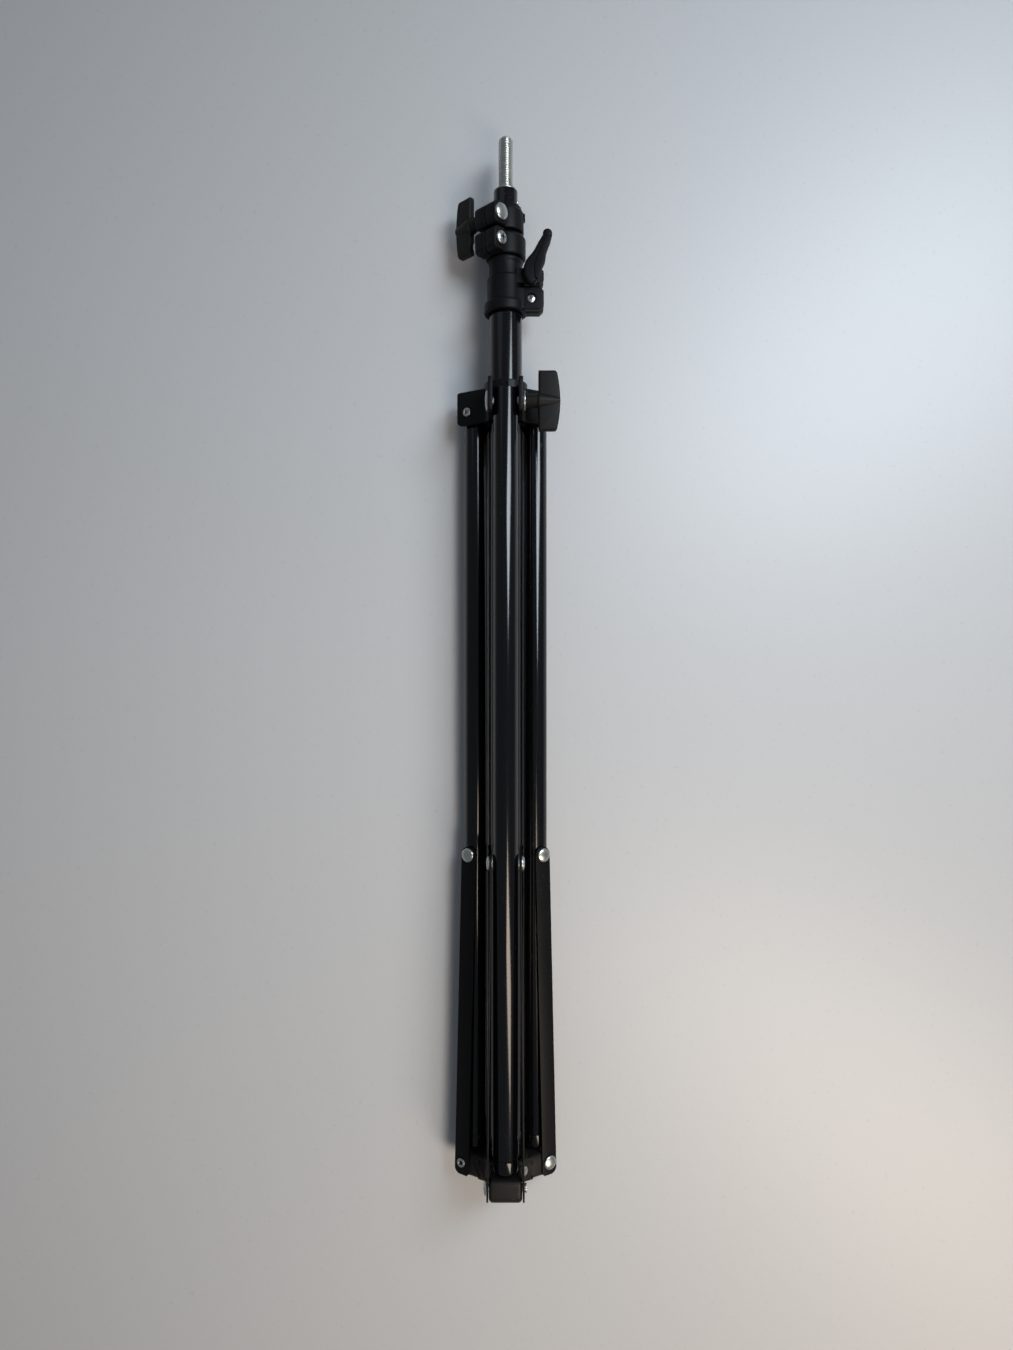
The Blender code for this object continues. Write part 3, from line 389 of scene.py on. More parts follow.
def link(tree, place, value):
    """Join a socket to another, or set its number, colour or direction."""
    if isinstance(value, Sock):
        tree.links.new(value.socket, place)
    elif isinstance(value, bpy.types.NodeSocket):
        tree.links.new(value, place)
    elif hasattr(value, "__len__") and len(value) == 3 and place.type == "RGBA":
        place.default_value = (*value, 1.0)
    else:
        place.default_value = value


class Finish:
    """A material and the few node kinds that its pattern needs."""

    def __init__(self, name, colour, roughness, metallic=0.0, **shader):
        self.material = bpy.data.materials.new(name)
        self.material.use_nodes = True
        self.tree = self.material.node_tree
        self.shader = self.tree.nodes["Principled BSDF"]
        self.put("Base Color", colour)
        self.put("Roughness", roughness)
        self.put("Metallic", metallic)
        for key, value in shader.items():
            self.put(key.replace("_", " "), value)
        self.where = self.node("ShaderNodeTexCoord", "Object")

    def put(self, name, value):
        link(self.tree, self.shader.inputs[name], value)

    def node(self, kind, output, **inputs):
        made = self.tree.nodes.new(kind)
        for key, value in inputs.items():
            link(self.tree, made.inputs[key], value)
        return Sock(self.tree, made.outputs[output])

    def stretched(self, x, y, z):
        return self.node("ShaderNodeMapping", "Vector", Vector=self.where, Scale=(x, y, z))

    def noise(self, scale, detail=3.0, rough=0.55, where=None):
        return self.node("ShaderNodeTexNoise", 0, Vector=where or self.where, Scale=scale, Detail=detail,
                         Roughness=rough)

    def ramp(self, value, *stops):
        """Straight steps between (place, shade) stops."""
        made = self.tree.nodes.new("ShaderNodeValToRGB")
        link(self.tree, made.inputs[0], value)
        row = made.color_ramp.elements
        for place, shade in stops[2:]:
            row.new(place)
        for element, (place, shade) in zip(row, sorted(stops)):
            element.position = place
            element.color = (shade, shade, shade, 1)
        return Sock(self.tree, made.outputs[0])

    def blend(self, factor, a, b):
        """Colour a where the factor is 0 and b where it is 1."""
        made = self.tree.nodes.new("ShaderNodeMix")
        made.data_type = "RGBA"
        link(self.tree, made.inputs[0], factor)
        link(self.tree, made.inputs[6], a)
        link(self.tree, made.inputs[7], b)
        return Sock(self.tree, made.outputs[2])

    def bump(self, height, strength, distance):
        self.put("Normal", self.node("ShaderNodeBump", "Normal", Height=height, Strength=strength,
                                     Distance=distance))


def gloss_tube(name, tint):
    """Black lacquered tube: deep gloss, faint lengthwise drawing lines, dust and small scuffs."""
    f = Finish(name, tint, 0.12, Specular_IOR_Level=0.35, Coat_Weight=0.12, Coat_Roughness=0.05)
    lines = f.noise(260, 2, 0.6, f.stretched(1, 0.012, 1))
    patches = f.noise(16, 4, 0.6)
    dust = f.ramp(f.noise(900, 2, 0.5), (0.66, 0.0), (0.72, 1.0))
    dust = dust * f.ramp(patches, (0.45, 0.15), (0.65, 1.0))
    scuff = f.ramp(f.noise(150, 5, 0.75, f.stretched(1, 0.3, 1)), (0.69, 0.0), (0.74, 1.0))
    scuff = scuff * f.ramp(f.noise(9, 1, 0.5), (0.5, 0.0), (0.62, 1.0))
    mark = (dust * 0.5 + scuff).clamped()
    f.put("Base Color", f.blend(mark * 0.3, tint, (0.16, 0.145, 0.12)))
    f.put("Roughness", (lines * 0.06 + patches * 0.08 + 0.07 + mark * 0.3).clamped())
    f.bump(lines, 0.06, 0.0002)
    return f.material


def painted_steel(name, tint):
    """Black paint on pressed steel: satin, with a fine orange-peel surface and small greyer specks."""
    f = Finish(name, tint, 0.42, Specular_IOR_Level=0.16)
    peel = f.noise(750, 2, 0.5)
    patches = f.noise(22, 4, 0.62)
    specks = f.ramp(f.noise(520, 3, 0.6), (0.68, 0.0), (0.74, 1.0))
    f.put("Base Color", f.blend(specks * 0.35, tint, (0.12, 0.115, 0.10)))
    f.put("Roughness", (patches * 0.22 + 0.28 + specks * 0.2).clamped())
    f.bump(peel, 0.18, 0.00025)
    return f.material


def moulded(name, tint, rough, grain=900):
    """Black moulded plastic: fine spark-eroded grain, a soft sheen and finger-polished patches."""
    f = Finish(name, tint, rough, Specular_IOR_Level=0.13)
    spark = f.noise(grain, 3, 0.6)
    patches = f.noise(30, 3, 0.6)
    dust = f.ramp(f.noise(700, 2, 0.5), (0.67, 0.0), (0.73, 1.0))
    f.put("Base Color", f.blend((dust * 0.3 + patches * 0.25).clamped(), tint,
                                tuple(2.2 * c + 0.004 for c in tint)))
    f.put("Roughness", (patches * 0.2 + (rough - 0.1) + spark * 0.08).clamped())
    f.bump(spark, 0.25, 0.0002)
    return f.material


def plated(name, tint, rough):
    """Bright zinc: cool grey metal with a fine brushed grain, clouding and darker spots."""
    f = Finish(name, tint, rough, metallic=1.0)
    clouds = f.noise(520, 3, 0.6)
    spots = f.ramp(f.noise(900, 2, 0.5), (0.62, 0.0), (0.75, 1.0))
    f.put("Base Color", f.blend((clouds * 0.35 + spots * 0.35).clamped(), tint,
                                tuple(0.35 * c for c in tint)))
    f.put("Roughness", (clouds * 0.22 + (rough - 0.10)).clamped())
    f.bump(clouds, 0.30, 0.0003)
    return f.material


def table_top(name, tint):
    """Pale laminate: a faint pebble grain, small specks of darker and lighter grey, satin gloss."""
    f = Finish(name, tint, 0.42, Specular_IOR_Level=0.5)
    fine = f.noise(420, 3, 0.7)
    broad = f.noise(6, 3, 0.5)
    specks = f.ramp(f.noise(300, 2, 0.5), (0.28, 1.0), (0.33, 0.0))
    grain = (fine - 0.5) * 0.5 + (broad - 0.5) * 0.12
    shade = (0.5 + grain * 0.5).clamped()
    ground = f.blend(shade, tuple(0.90 * c for c in tint), tuple(1.10 * c for c in tint))
    f.put("Base Color", f.blend(specks * 0.25, ground, tuple(0.72 * c for c in tint)))
    f.put("Roughness", (fine * 0.14 + 0.34).clamped())
    f.bump(fine, 0.10, 0.0004)
    return f.material


MADE = {}


def finishes():
    """The stand's materials, made once from the panel's colours."""
    if not MADE:
        s = bpy.context.scene.stand_finish
        MADE.update(
            tube=gloss_tube("black_gloss_tube", tuple(s.tube_colour)),
            steel=painted_steel("black_painted_steel", tuple(s.steel_colour)),
            plastic=moulded("black_moulded_plastic", tuple(s.plastic_colour), 0.42),
            knob=moulded("brown_black_knob_plastic", tuple(s.knob_colour), 0.46, 700),
            cap=moulded("worn_black_cap_plastic", tuple(s.cap_colour), 0.55, 600),
            hub=painted_steel("worn_black_cast_hub", tuple(s.hub_colour)),
            zinc=plated("bright_zinc", tuple(s.zinc_colour), 0.30),
            # recess_shadow is painted shade: a near-black colour for the cross recesses, where the real
            # zinc is only shaded
            dark=moulded("recess_shadow", (0.004, 0.004, 0.004), 0.8, 500),
        )
    return MADE


# ---------------------------------------------------------------- the panel's settings
class StandSizes(bpy.types.PropertyGroup):
    edge: FloatProperty(name="Edge rounding", description="Rounding on moulded and pressed edges",
                        default=0.5 * MM, min=0.1 * MM, max=1.2 * MM, subtype="DISTANCE", unit="LENGTH")
    thread_pitch: FloatProperty(name="Thread pitch", description="Pitch of the 3/8 inch stud thread",
                                default=25.4 / 16 * MM, min=1.0 * MM, max=2.5 * MM, subtype="DISTANCE",
                                unit="LENGTH")
    thread_depth: FloatProperty(name="Thread depth", description="Crest to root of the stud thread",
                                default=0.85 * MM, min=0.3 * MM, max=1.2 * MM, subtype="DISTANCE",
                                unit="LENGTH")
    lens_height: FloatProperty(name="Camera height", description="Camera above the mast's axis",
                               default=0.600, min=0.3, max=3.0, subtype="DISTANCE", unit="LENGTH")


def colour_setting(name, description, default):
    return FloatVectorProperty(name=name, description=description, default=default, size=3, min=0.0,
                               max=1.0, subtype="COLOR")


class StandFinish(bpy.types.PropertyGroup):
    tube_colour: colour_setting("Tubes", "Black lacquer of the tubes", (0.0018, 0.0018, 0.0024))
    steel_colour: colour_setting("Steel", "Paint of brackets and braces", (0.0034, 0.0034, 0.0036))
    plastic_colour: colour_setting("Plastic", "Collars, lever and feet", (0.0034, 0.0034, 0.0040))
    knob_colour: colour_setting("Knobs", "Wing knobs", (0.0085, 0.0076, 0.0070))
    cap_colour: colour_setting("End cap", "Moulded cap under the mast", (0.008, 0.0075, 0.007))
    hub_colour: colour_setting("Lower hub", "Hub that the braces turn on", (0.0150, 0.0138, 0.0124))
    zinc_colour: colour_setting("Zinc", "Stud, screws and rivets", (0.62, 0.63, 0.60))
    table_colour: colour_setting("Table", "Pale table top", (0.50, 0.50, 0.50))


class StandOperator:
    """What every button of the panel shares."""
    bl_options = {"REGISTER", "UNDO"}


# ---------------------------------------------------------------- tubes and end cap
def tube_wall(radius, low, high, axes):
    """A round tube: a rectangle of wall thickness with small round corners carried round the axis."""
    inner = radius - TUBE_WALL
    ring = softened_ring([(radius, low), (radius, high), (inner, high), (inner, low)], 0.25 * MM, 3)
    return lathe(ring, axes, 96, closed=True)


class STAND_OT_tubes(StandOperator, bpy.types.Operator):
    """Build the three mast tubes and the three leg tubes with their feet and plugs"""
    bl_idname = "stand.tubes"
    bl_label = "Tubes and feet"

    def execute(self, context):
        for node in ("outer_mast_tube", "middle_mast_tube", "top_mast_tube"):
            low, high = span(node, 1)
            wall = tube_wall(tube_radius(node), low - END, high - END, mast_axes())
            finished(node, [wall], "tube")
        for name, angle in LEGS.items():
            self.leg(name, angle)
        return {"FINISHED"}

    def leg(self, name, angle):
        """The tube with its corner cut off at the pivot end: every point above a slanting plane moves
        down along the tube onto that plane."""
        low, high = span(f"leg_{name}_tube", 1)
        out, side = leg_directions(angle)
        foot = f"leg_{name}_foot"
        foot_low = span(foot, 1)[0]
        axes = Axes(middle(foot) * [1, 0, 1], side, out, (0, 1, 0))
        points, faces = tube_wall(LEG_R, low, high, row_axes((0, 0, 0)))
        slant = high + LEG_R - 0.65 * LEG_R
        points[:, 2] = np.minimum(points[:, 2], slant + points[:, 1])
        finished(f"leg_{name}_tube", [(axes.at(points), faces)], "tube", 50)
        plug_r = LEG_R - TUBE_WALL - 0.1 * MM
        plug_top, plug_foot = high - 0.5 * MM, high - 18 * MM
        profile = softened([(0, plug_top), (plug_r, plug_top), (plug_r, plug_foot), (0, plug_foot)],
                           0.4 * MM)
        points, faces = lathe(profile, row_axes((0, 0, 0)), 64)
        points[:, 2] = np.minimum(points[:, 2], slant - 0.4 * MM + points[:, 1])
        finished(f"leg_{name}_top_plug", [(axes.at(points), faces)], "plastic", 50)
        foot_top = low - GAP
        profile = [(0, foot_top + 10 * MM), (plug_r - 0.1 * MM, foot_top + 10 * MM),
                   (plug_r - 0.1 * MM, foot_top + 0.1 * MM), (LEG_R, foot_top), (LEG_R, foot_low),
                   (0, foot_low)]
        finished(foot, [lathe(softened(profile, 2.2 * MM, 6), axes, 64)], "tube")


class STAND_OT_cap(StandOperator, bpy.types.Operator):
    """Build the moulded end cap with its rounded rim and dished face"""
    bl_idname = "stand.cap"
    bl_label = "End cap"

    def execute(self, context):
        radius = tube_radius("mast_end_cap")
        height = span("outer_mast_tube", 1)[0] - GAP - END
        bore = tube_radius("outer_mast_tube") - 1.3 * MM
        spigot = span("mast_end_cap", 1)[1] - END
        profile = [(0, spigot), (bore, spigot), (bore, height), (radius - 0.3 * MM, height),
                   (radius, height - 0.3 * MM), (radius, 1.4 * MM), (radius - 1.4 * MM, 0),
                   (radius * 0.6, 0), (radius * 0.55, 0.8 * MM), (0, 0.8 * MM)]
        shape = lathe(softened(profile, 0.8 * MM, 5), mast_axes(), 96)
        finished("mast_end_cap", [shape], "cap")
        return {"FINISHED"}


class STAND_OT_stud(StandOperator, bpy.types.Operator):
    """Build the threaded stud, its flanged insert and the grub screw"""
    bl_idname = "stand.stud"
    bl_label = "Threaded stud"

    def execute(self, context):
        sizes = context.scene.stand_sizes
        low, high = span("threaded_stud", 1)
        radius = tube_radius("threaded_stud")
        seat = span("stud_insert", 1)[1]
        axes = mast_axes(-END)
        rod = threaded_rod(radius, sizes.thread_depth, sizes.thread_pitch, seat + 0.6 * MM, high,
                           radius - 2.4 * MM, 2.4 * MM, axes)
        core, shank_top = radius - 0.35 * MM, seat + 1.2 * MM
        shank = lathe(softened([(0, shank_top), (core, shank_top), (core, low), (0, low)], 0.3 * MM),
                      axes, 48)
        finished("threaded_stud", [rod, shank], "zinc", 60)
        flange = tube_radius("stud_insert")
        bottom = span("stud_insert", 1)[0]
        inner, rim = radius + 0.1 * MM, 0.8 * MM
        ring = softened_ring([(inner, seat - 1.2 * MM), (inner, seat), (flange, seat),
                              (flange, seat - rim), (flange - rim, seat - rim), (flange - rim, bottom),
                              (inner, bottom)], 0.25 * MM, 3)
        finished("stud_insert", [lathe(ring, axes, 72, closed=True)], "zinc")
        centre = middle("set_screw")
        reach = span("set_screw", 0)[1] - AXIS[0]
        grub = Axes((AXIS[0], centre[1], AXIS[2]), (0, 1, 0), (0, 0, 1), (1, 0, 0))
        grub_r, grub_foot = 1.45 * MM, reach - 3 * MM
        profile = np.vstack([cap_profile(grub_r, reach - 0.4 * MM, 0.35 * MM),
                             [(grub_r, grub_foot), (0, grub_foot)]])
        screw("set_screw", profile, grub, 32, (0.9 * MM, 0.6 * MM, reach))
        return {"FINISHED"}


# ---------------------------------------------------------------- brackets, braces and their rivets
class Pivots:
    """Where the legs and the braces turn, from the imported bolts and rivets."""

    def __init__(self):
        bolt, hub = middle("spider_washer"), middle("hub_front_rivet")
        self.leg_y, self.leg_out = bolt[1], bolt[2] - AXIS[2]
        self.hub_y, self.hub_out = hub[1], hub[2] - AXIS[2]
        top = middle("brace_front_rivet_plus")
        self.top_y, self.top_out = top[1], top[2] - AXIS[2]
        self.top_face = span("brace_front_rivet_plus", 0)[1] - AXIS[0] - RIVET_HEIGHT - GAP
        self.hub_face = span("hub_front_rivet", 0)[1] - AXIS[0] - TAIL_HEIGHT - GAP
        self.ear_face = span("spider_washer", 0)[0] - AXIS[0] - GAP


def leg_axes(name, y, out):
    """At a pivot of a leg: u away from the mast, v along it and w sideways."""
    away, side = leg_directions(LEGS[name])
    return Axes(AXIS + [0, y, 0] + away * out, away, (0, 1, 0), side)


def ear_outline(root, reach, bottom, top, corner):
    """A bracket ear, out from the mast and along it: a round lower corner and a smaller upper one."""
    lower = arc((reach - corner, bottom + corner), corner, -90, 0, 8)
    upper = arc((reach - corner / 2, top - corner / 2), corner / 2, 0, 90, 6)
    return np.vstack([[(root, bottom)], lower, upper, [(root, top)]])


def three_lobed(bore, side, reach, low, high, axes, steps=216):
    """The hub's core: a sleeve whose outer radius is, at each angle from the nearest lug's direction, the
    lesser of reach over its cosine and side over its sine, so its outside is the lugs' own flat sides."""
    t = np.linspace(0, 2 * math.pi, steps, endpoint=False)
    turn = (t - math.pi / 2 + math.pi / 3) % (2 * math.pi / 3) - math.pi / 3
    outer = np.minimum(reach / np.cos(turn), side / np.maximum(np.abs(np.sin(turn)), 0.01))
    e, inner = 0.5 * MM, np.full(steps, bore)
    r = np.stack([inner, outer - e, outer, outer, outer - e, inner])
    h = np.array([low, low, low + e, high - e, high, high])[:, None]
    return axes.at(round_points(r, t, h)), looped_faces(6, steps)


class STAND_OT_brackets(StandOperator, bpy.types.Operator):
    """Build the sliding leg spider, a sleeve and six ears, and the lower hub with its three lugs"""
    bl_idname = "stand.brackets"
    bl_label = "Spider and hub"

    def execute(self, context):
        p = Pivots()
        edge = context.scene.stand_sizes.edge
        bore = tube_radius("outer_mast_tube") + GAP
        low, high = span("leg_spider", 1)
        split, rim = 7.0, high + 3.6 * MM
        ring = softened_ring([(bore, low), (RING_R, low), (RING_R, rim), (bore, rim)], 0.7 * MM)
        shapes = [lathe(ring, mast_axes(-END), 96, True, 90 + split, 360 - 2 * split)]
        inner = LEG_R + GAP
        outer = p.ear_face
        root = math.sqrt((bore + 0.23 * MM) ** 2 - inner ** 2)
        for name in LEGS:
            outline = ear_outline(root, p.leg_out + 8.4 * MM, low, high, 3.0 * MM)
            axes = leg_axes(name, 0, 0)
            centre = (p.leg_out, p.leg_y)
            hole = (SPIDER_BOLT_R if name == "front" else PIN_R) + GAP
            for a, b in ((inner, outer), (-outer, -inner)):
                shapes.append(drilled(outline, centre, [(hole, b), (hole, a)], a, b, edge, axes))
            if name != "front":
                shapes.append(self.rib(name, high))
        finished("leg_spider", shapes, "steel")

        low, high = span("lower_hub", 1)
        ring_low = span("outer_mast_tube", 1)[0]
        top = p.hub_y + 6 * MM
        ring_r, skin = 14.6 * MM, 0.1 * MM
        ring = softened_ring([(bore, ring_low), (ring_r, ring_low), (ring_r, high), (bore, high)],
                             0.8 * MM)
        side = p.hub_face - STRAP_WALL - GAP
        shapes = [lathe(ring, mast_axes(-END), 96, True),
                  three_lobed(bore, side - 0.03 * MM, 15.5 * MM, low + skin, top - skin, mast_axes(-END))]
        for name in LEGS:
            outline = ear_outline(12 * MM, p.hub_out + 4.8 * MM, low, top, 5.0 * MM)
            shapes.append(slab(seen_from(outline, (p.hub_out - 4 * MM, p.hub_y), 140), -side, side,
                               2.6 * MM, leg_axes(name, 0, 0), 7))
        finished("lower_hub", shapes, "hub")
        for node, finish in (("hub_pin", "zinc"), ("middle_tube_plug", "plastic"),
                             ("top_tube_plug", "plastic")):
            dress(node, finishes()[finish])
        return {"FINISHED"}

    def rib(self, name, high):
        """A small gusset against the spider's sleeve between a rear leg's ears, under their upper edge."""
        r, foot, top, half = 14.2 * MM, high - 6 * MM, high - 0.2 * MM, 0.9 * MM
        outline = softened_ring([(r - 2 * MM, foot), (r + 3.2 * MM, foot), (r + 1.0 * MM, top),
                                 (r - 2 * MM, top)], 0.6 * MM)
        return slab(outline, -half, half, 0.3 * MM, leg_axes(name, 0, 0))


def dress(node, finish):
    """Give a CAD node that stays a finish."""
    for place in frame["nodes"][node].material_slots:
        place.material = finish


def rivet_head(face):
    """A rivet's head and the start of its shank: a dome on a short straight rim."""
    dome = cap_profile(RIVET_R, face + 0.25 * RIVET_HEIGHT, 0.75 * RIVET_HEIGHT, 10)
    return list(dome) + [(RIVET_R, face), (PIN_R, face)]


class STAND_OT_braces(StandOperator, bpy.types.Operator):
    """Build the six brace straps and every rivet of the legs and braces"""
    bl_idname = "stand.braces"
    bl_label = "Braces and rivets"

    def execute(self, context):
        p = Pivots()
        half, tail, nip, corner = 5.5 * MM, 8.4 * MM, 1.5 * MM, 4.5 * MM
        wall = STRAP_WALL
        for name in LEGS:
            away, side = leg_directions(LEGS[name])
            for label, sign in (("plus", 1), ("minus", -1)):
                low = AXIS + [0, p.hub_y, 0] + away * p.hub_out + side * sign * (p.hub_face - wall / 2)
                high = AXIS + [0, p.top_y, 0] + away * p.top_out + side * sign * (p.top_face - wall / 2)
                v = (high - low) / np.linalg.norm(high - low)
                w = side * sign - v * np.dot(side * sign, v)
                w /= np.linalg.norm(w)
                u = np.cross(v, w)
                u *= 1 if np.dot(u, away) > 0 else -1
                length = np.linalg.norm(high - low)
                outline = np.vstack([
                    arc((0, length), half, 0, 180, 24), [(-half, -tail + nip), (-half + nip, -tail)],
                    arc((half - corner, -tail + corner), corner, -90, 0, 10)])
                strap = slab(outline, -wall / 2, wall / 2, 0.3 * MM, Axes(low, u, v, w))
                finished(f"brace_{name}_strap_{label}", [strap], "steel")
                inner = p.top_face - wall - GAP
                back = inner - 0.4 * MM
                profile = rivet_head(p.top_face + GAP) + [(PIN_R, inner), (RIVET_R, inner),
                                                          (RIVET_R, back), (0, back)]
                axes = Axes(AXIS + [0, p.top_y, 0] + away * p.top_out, away, (0, 1, 0), side * sign)
                finished(f"brace_{name}_rivet_{label}", [lathe(profile, axes, 40)], "zinc")
            self.through(f"hub_{name}_rivet", p.hub_face + GAP, p.hub_y, p.hub_out, name)
            if name != "front":
                self.through(f"leg_{name}_pivot_rivet", p.ear_face + GAP, p.leg_y, p.leg_out, name)
        return {"FINISHED"}

    def through(self, node, face, y, out, name):
        """A rivet from side to side: a domed head, a shank, and a rolled hollow tail."""
        away, side = leg_directions(LEGS[name])
        axes = Axes(AXIS + [0, y, 0] + away * out, away, (0, 1, 0), -side)
        hollow, floor, end = 1.5 * MM, -face + 2 * MM, -face - TAIL_HEIGHT
        tail = softened([(PIN_R, -face), (TAIL_R, -face), (TAIL_R, end), (hollow, end), (hollow, floor)],
                        0.45 * MM)
        profile = np.vstack([rivet_head(face), tail, [(0, floor)]])
        finished(node, [lathe(profile, axes, 40)], "zinc")


# ---------------------------------------------------------------- knobs, bolts and nuts
def wing_knob(node, axes, bore):
    """A T-shaped knob: a boss, a tapered hub and a wing across it whose outer edge is a parabola, the
    wing's faces rounded over. w runs out of the boss and v along the wing."""
    width, depth, thick, boss, bulge = 38.5 * MM, 14.2 * MM, 5.4 * MM, 8.0 * MM, 2.24 * MM
    end, shoulder, half = boss + depth - 0.2 * MM, boss + depth - 3.4 * MM, width / 2
    y = np.linspace(-1, 1, 25) * (half - 1.2 * MM)
    edge = np.stack([y, end - bulge * (y / half) ** 2], 1)
    outline = np.vstack([[(-half, boss), (half, boss), (half, shoulder)], edge[::-1],
                         [(-half, shoulder)]])
    outline = seen_from(outline, (0, boss + depth * 0.45), 160)
    across = Axes(axes.origin, axes.turn[1], axes.turn[2], axes.turn[0])
    wing = slab(outline, -thick / 2, thick / 2, 1.5 * MM, across, 5)
    cone, neck, hole, bottom = 5.2 * MM, 4.4 * MM, bore + 0.1 * MM, 6 * MM
    hub = softened([(0, end), (3.1 * MM, end), (cone, boss + 1.2 * MM), (cone, boss),
                    (neck, boss - 0.6 * MM), (neck, 0), (hole, 0), (hole, bottom), (0, bottom)],
                   0.5 * MM)
    finished(node, [wing, lathe(hub, axes, 56)], "knob")


def screw(node, profile, axes, steps=48, cross=None, finish="zinc"):
    """A turned bolt or screw, with a cross recess of (size, depth, place) if it has one."""
    shells = [(lathe(profile, axes, steps), 0)]
    if cross:
        # The cross recess is a near-black star of painted shade in its own material
        shells.append((cross_recess(*cross, axes), 1))
    piece(node + "_finish", shells, [finishes()[finish], finishes()["dark"]], body_of(node), [node])


def hex_nut(node, across, bore, low, high, axes):
    """A six-sided nut whose corners are turned off: the radius is the lesser of the hexagon's and a
    cone's near each face."""
    t = np.linspace(0, 2 * math.pi, 72, endpoint=False)
    flat = across * math.cos(math.pi / 6)
    sector = (t + math.pi / 6) % (math.pi / 3) - math.pi / 6
    hexagon = flat / np.cos(sector)
    h = np.array([low, low + 0.5 * MM, high - 0.5 * MM, high])[:, None]
    cone = flat + (across - flat) * np.array([0.0, 1, 1, 0.0])[:, None]
    r = np.minimum(hexagon[None], cone)
    r = np.vstack([np.full((1, 72), bore), r, np.full((1, 72), bore)])
    h = np.vstack([[[low]], h, [[high]]])
    nut = (axes.at(round_points(r, t, h)), looped_faces(len(h), len(t)))
    finished(node, [nut], "zinc", 25)


class STAND_OT_knobs(StandOperator, bpy.types.Operator):
    """Build the spider's clamp bolt, washer and wing knob"""
    bl_idname = "stand.knobs"
    bl_label = "Leg clamp"

    def execute(self, context):
        p = Pivots()
        face = p.ear_face + GAP
        base = AXIS + [0, p.leg_y, p.leg_out]
        left = Axes(base, (0, 0, 1), (0, 1, 0), (-1, 0, 0))
        right = Axes(base, (0, 0, 1), (0, 1, 0), (1, 0, 0))
        head_r, end = 6.6 * MM, -face - 7 * MM
        head = list(cap_profile(head_r, face + 0.4 * MM, 1.4 * MM, 10))
        screw("spider_bolt", head + [(head_r, face), (SPIDER_BOLT_R, face), (SPIDER_BOLT_R, end),
                                     (0, end)], left)
        inner, outer, top = SPIDER_BOLT_R + GAP, 6.2 * MM, face + WASHER
        ring = softened_ring([(inner, face), (outer, face), (outer, top), (inner, top)], 0.25 * MM)
        finished("spider_washer", [lathe(ring, right, 56, closed=True)], "zinc")
        wing_knob("spider_knob", right.shifted(w=top + GAP), SPIDER_BOLT_R)
        return {"FINISHED"}


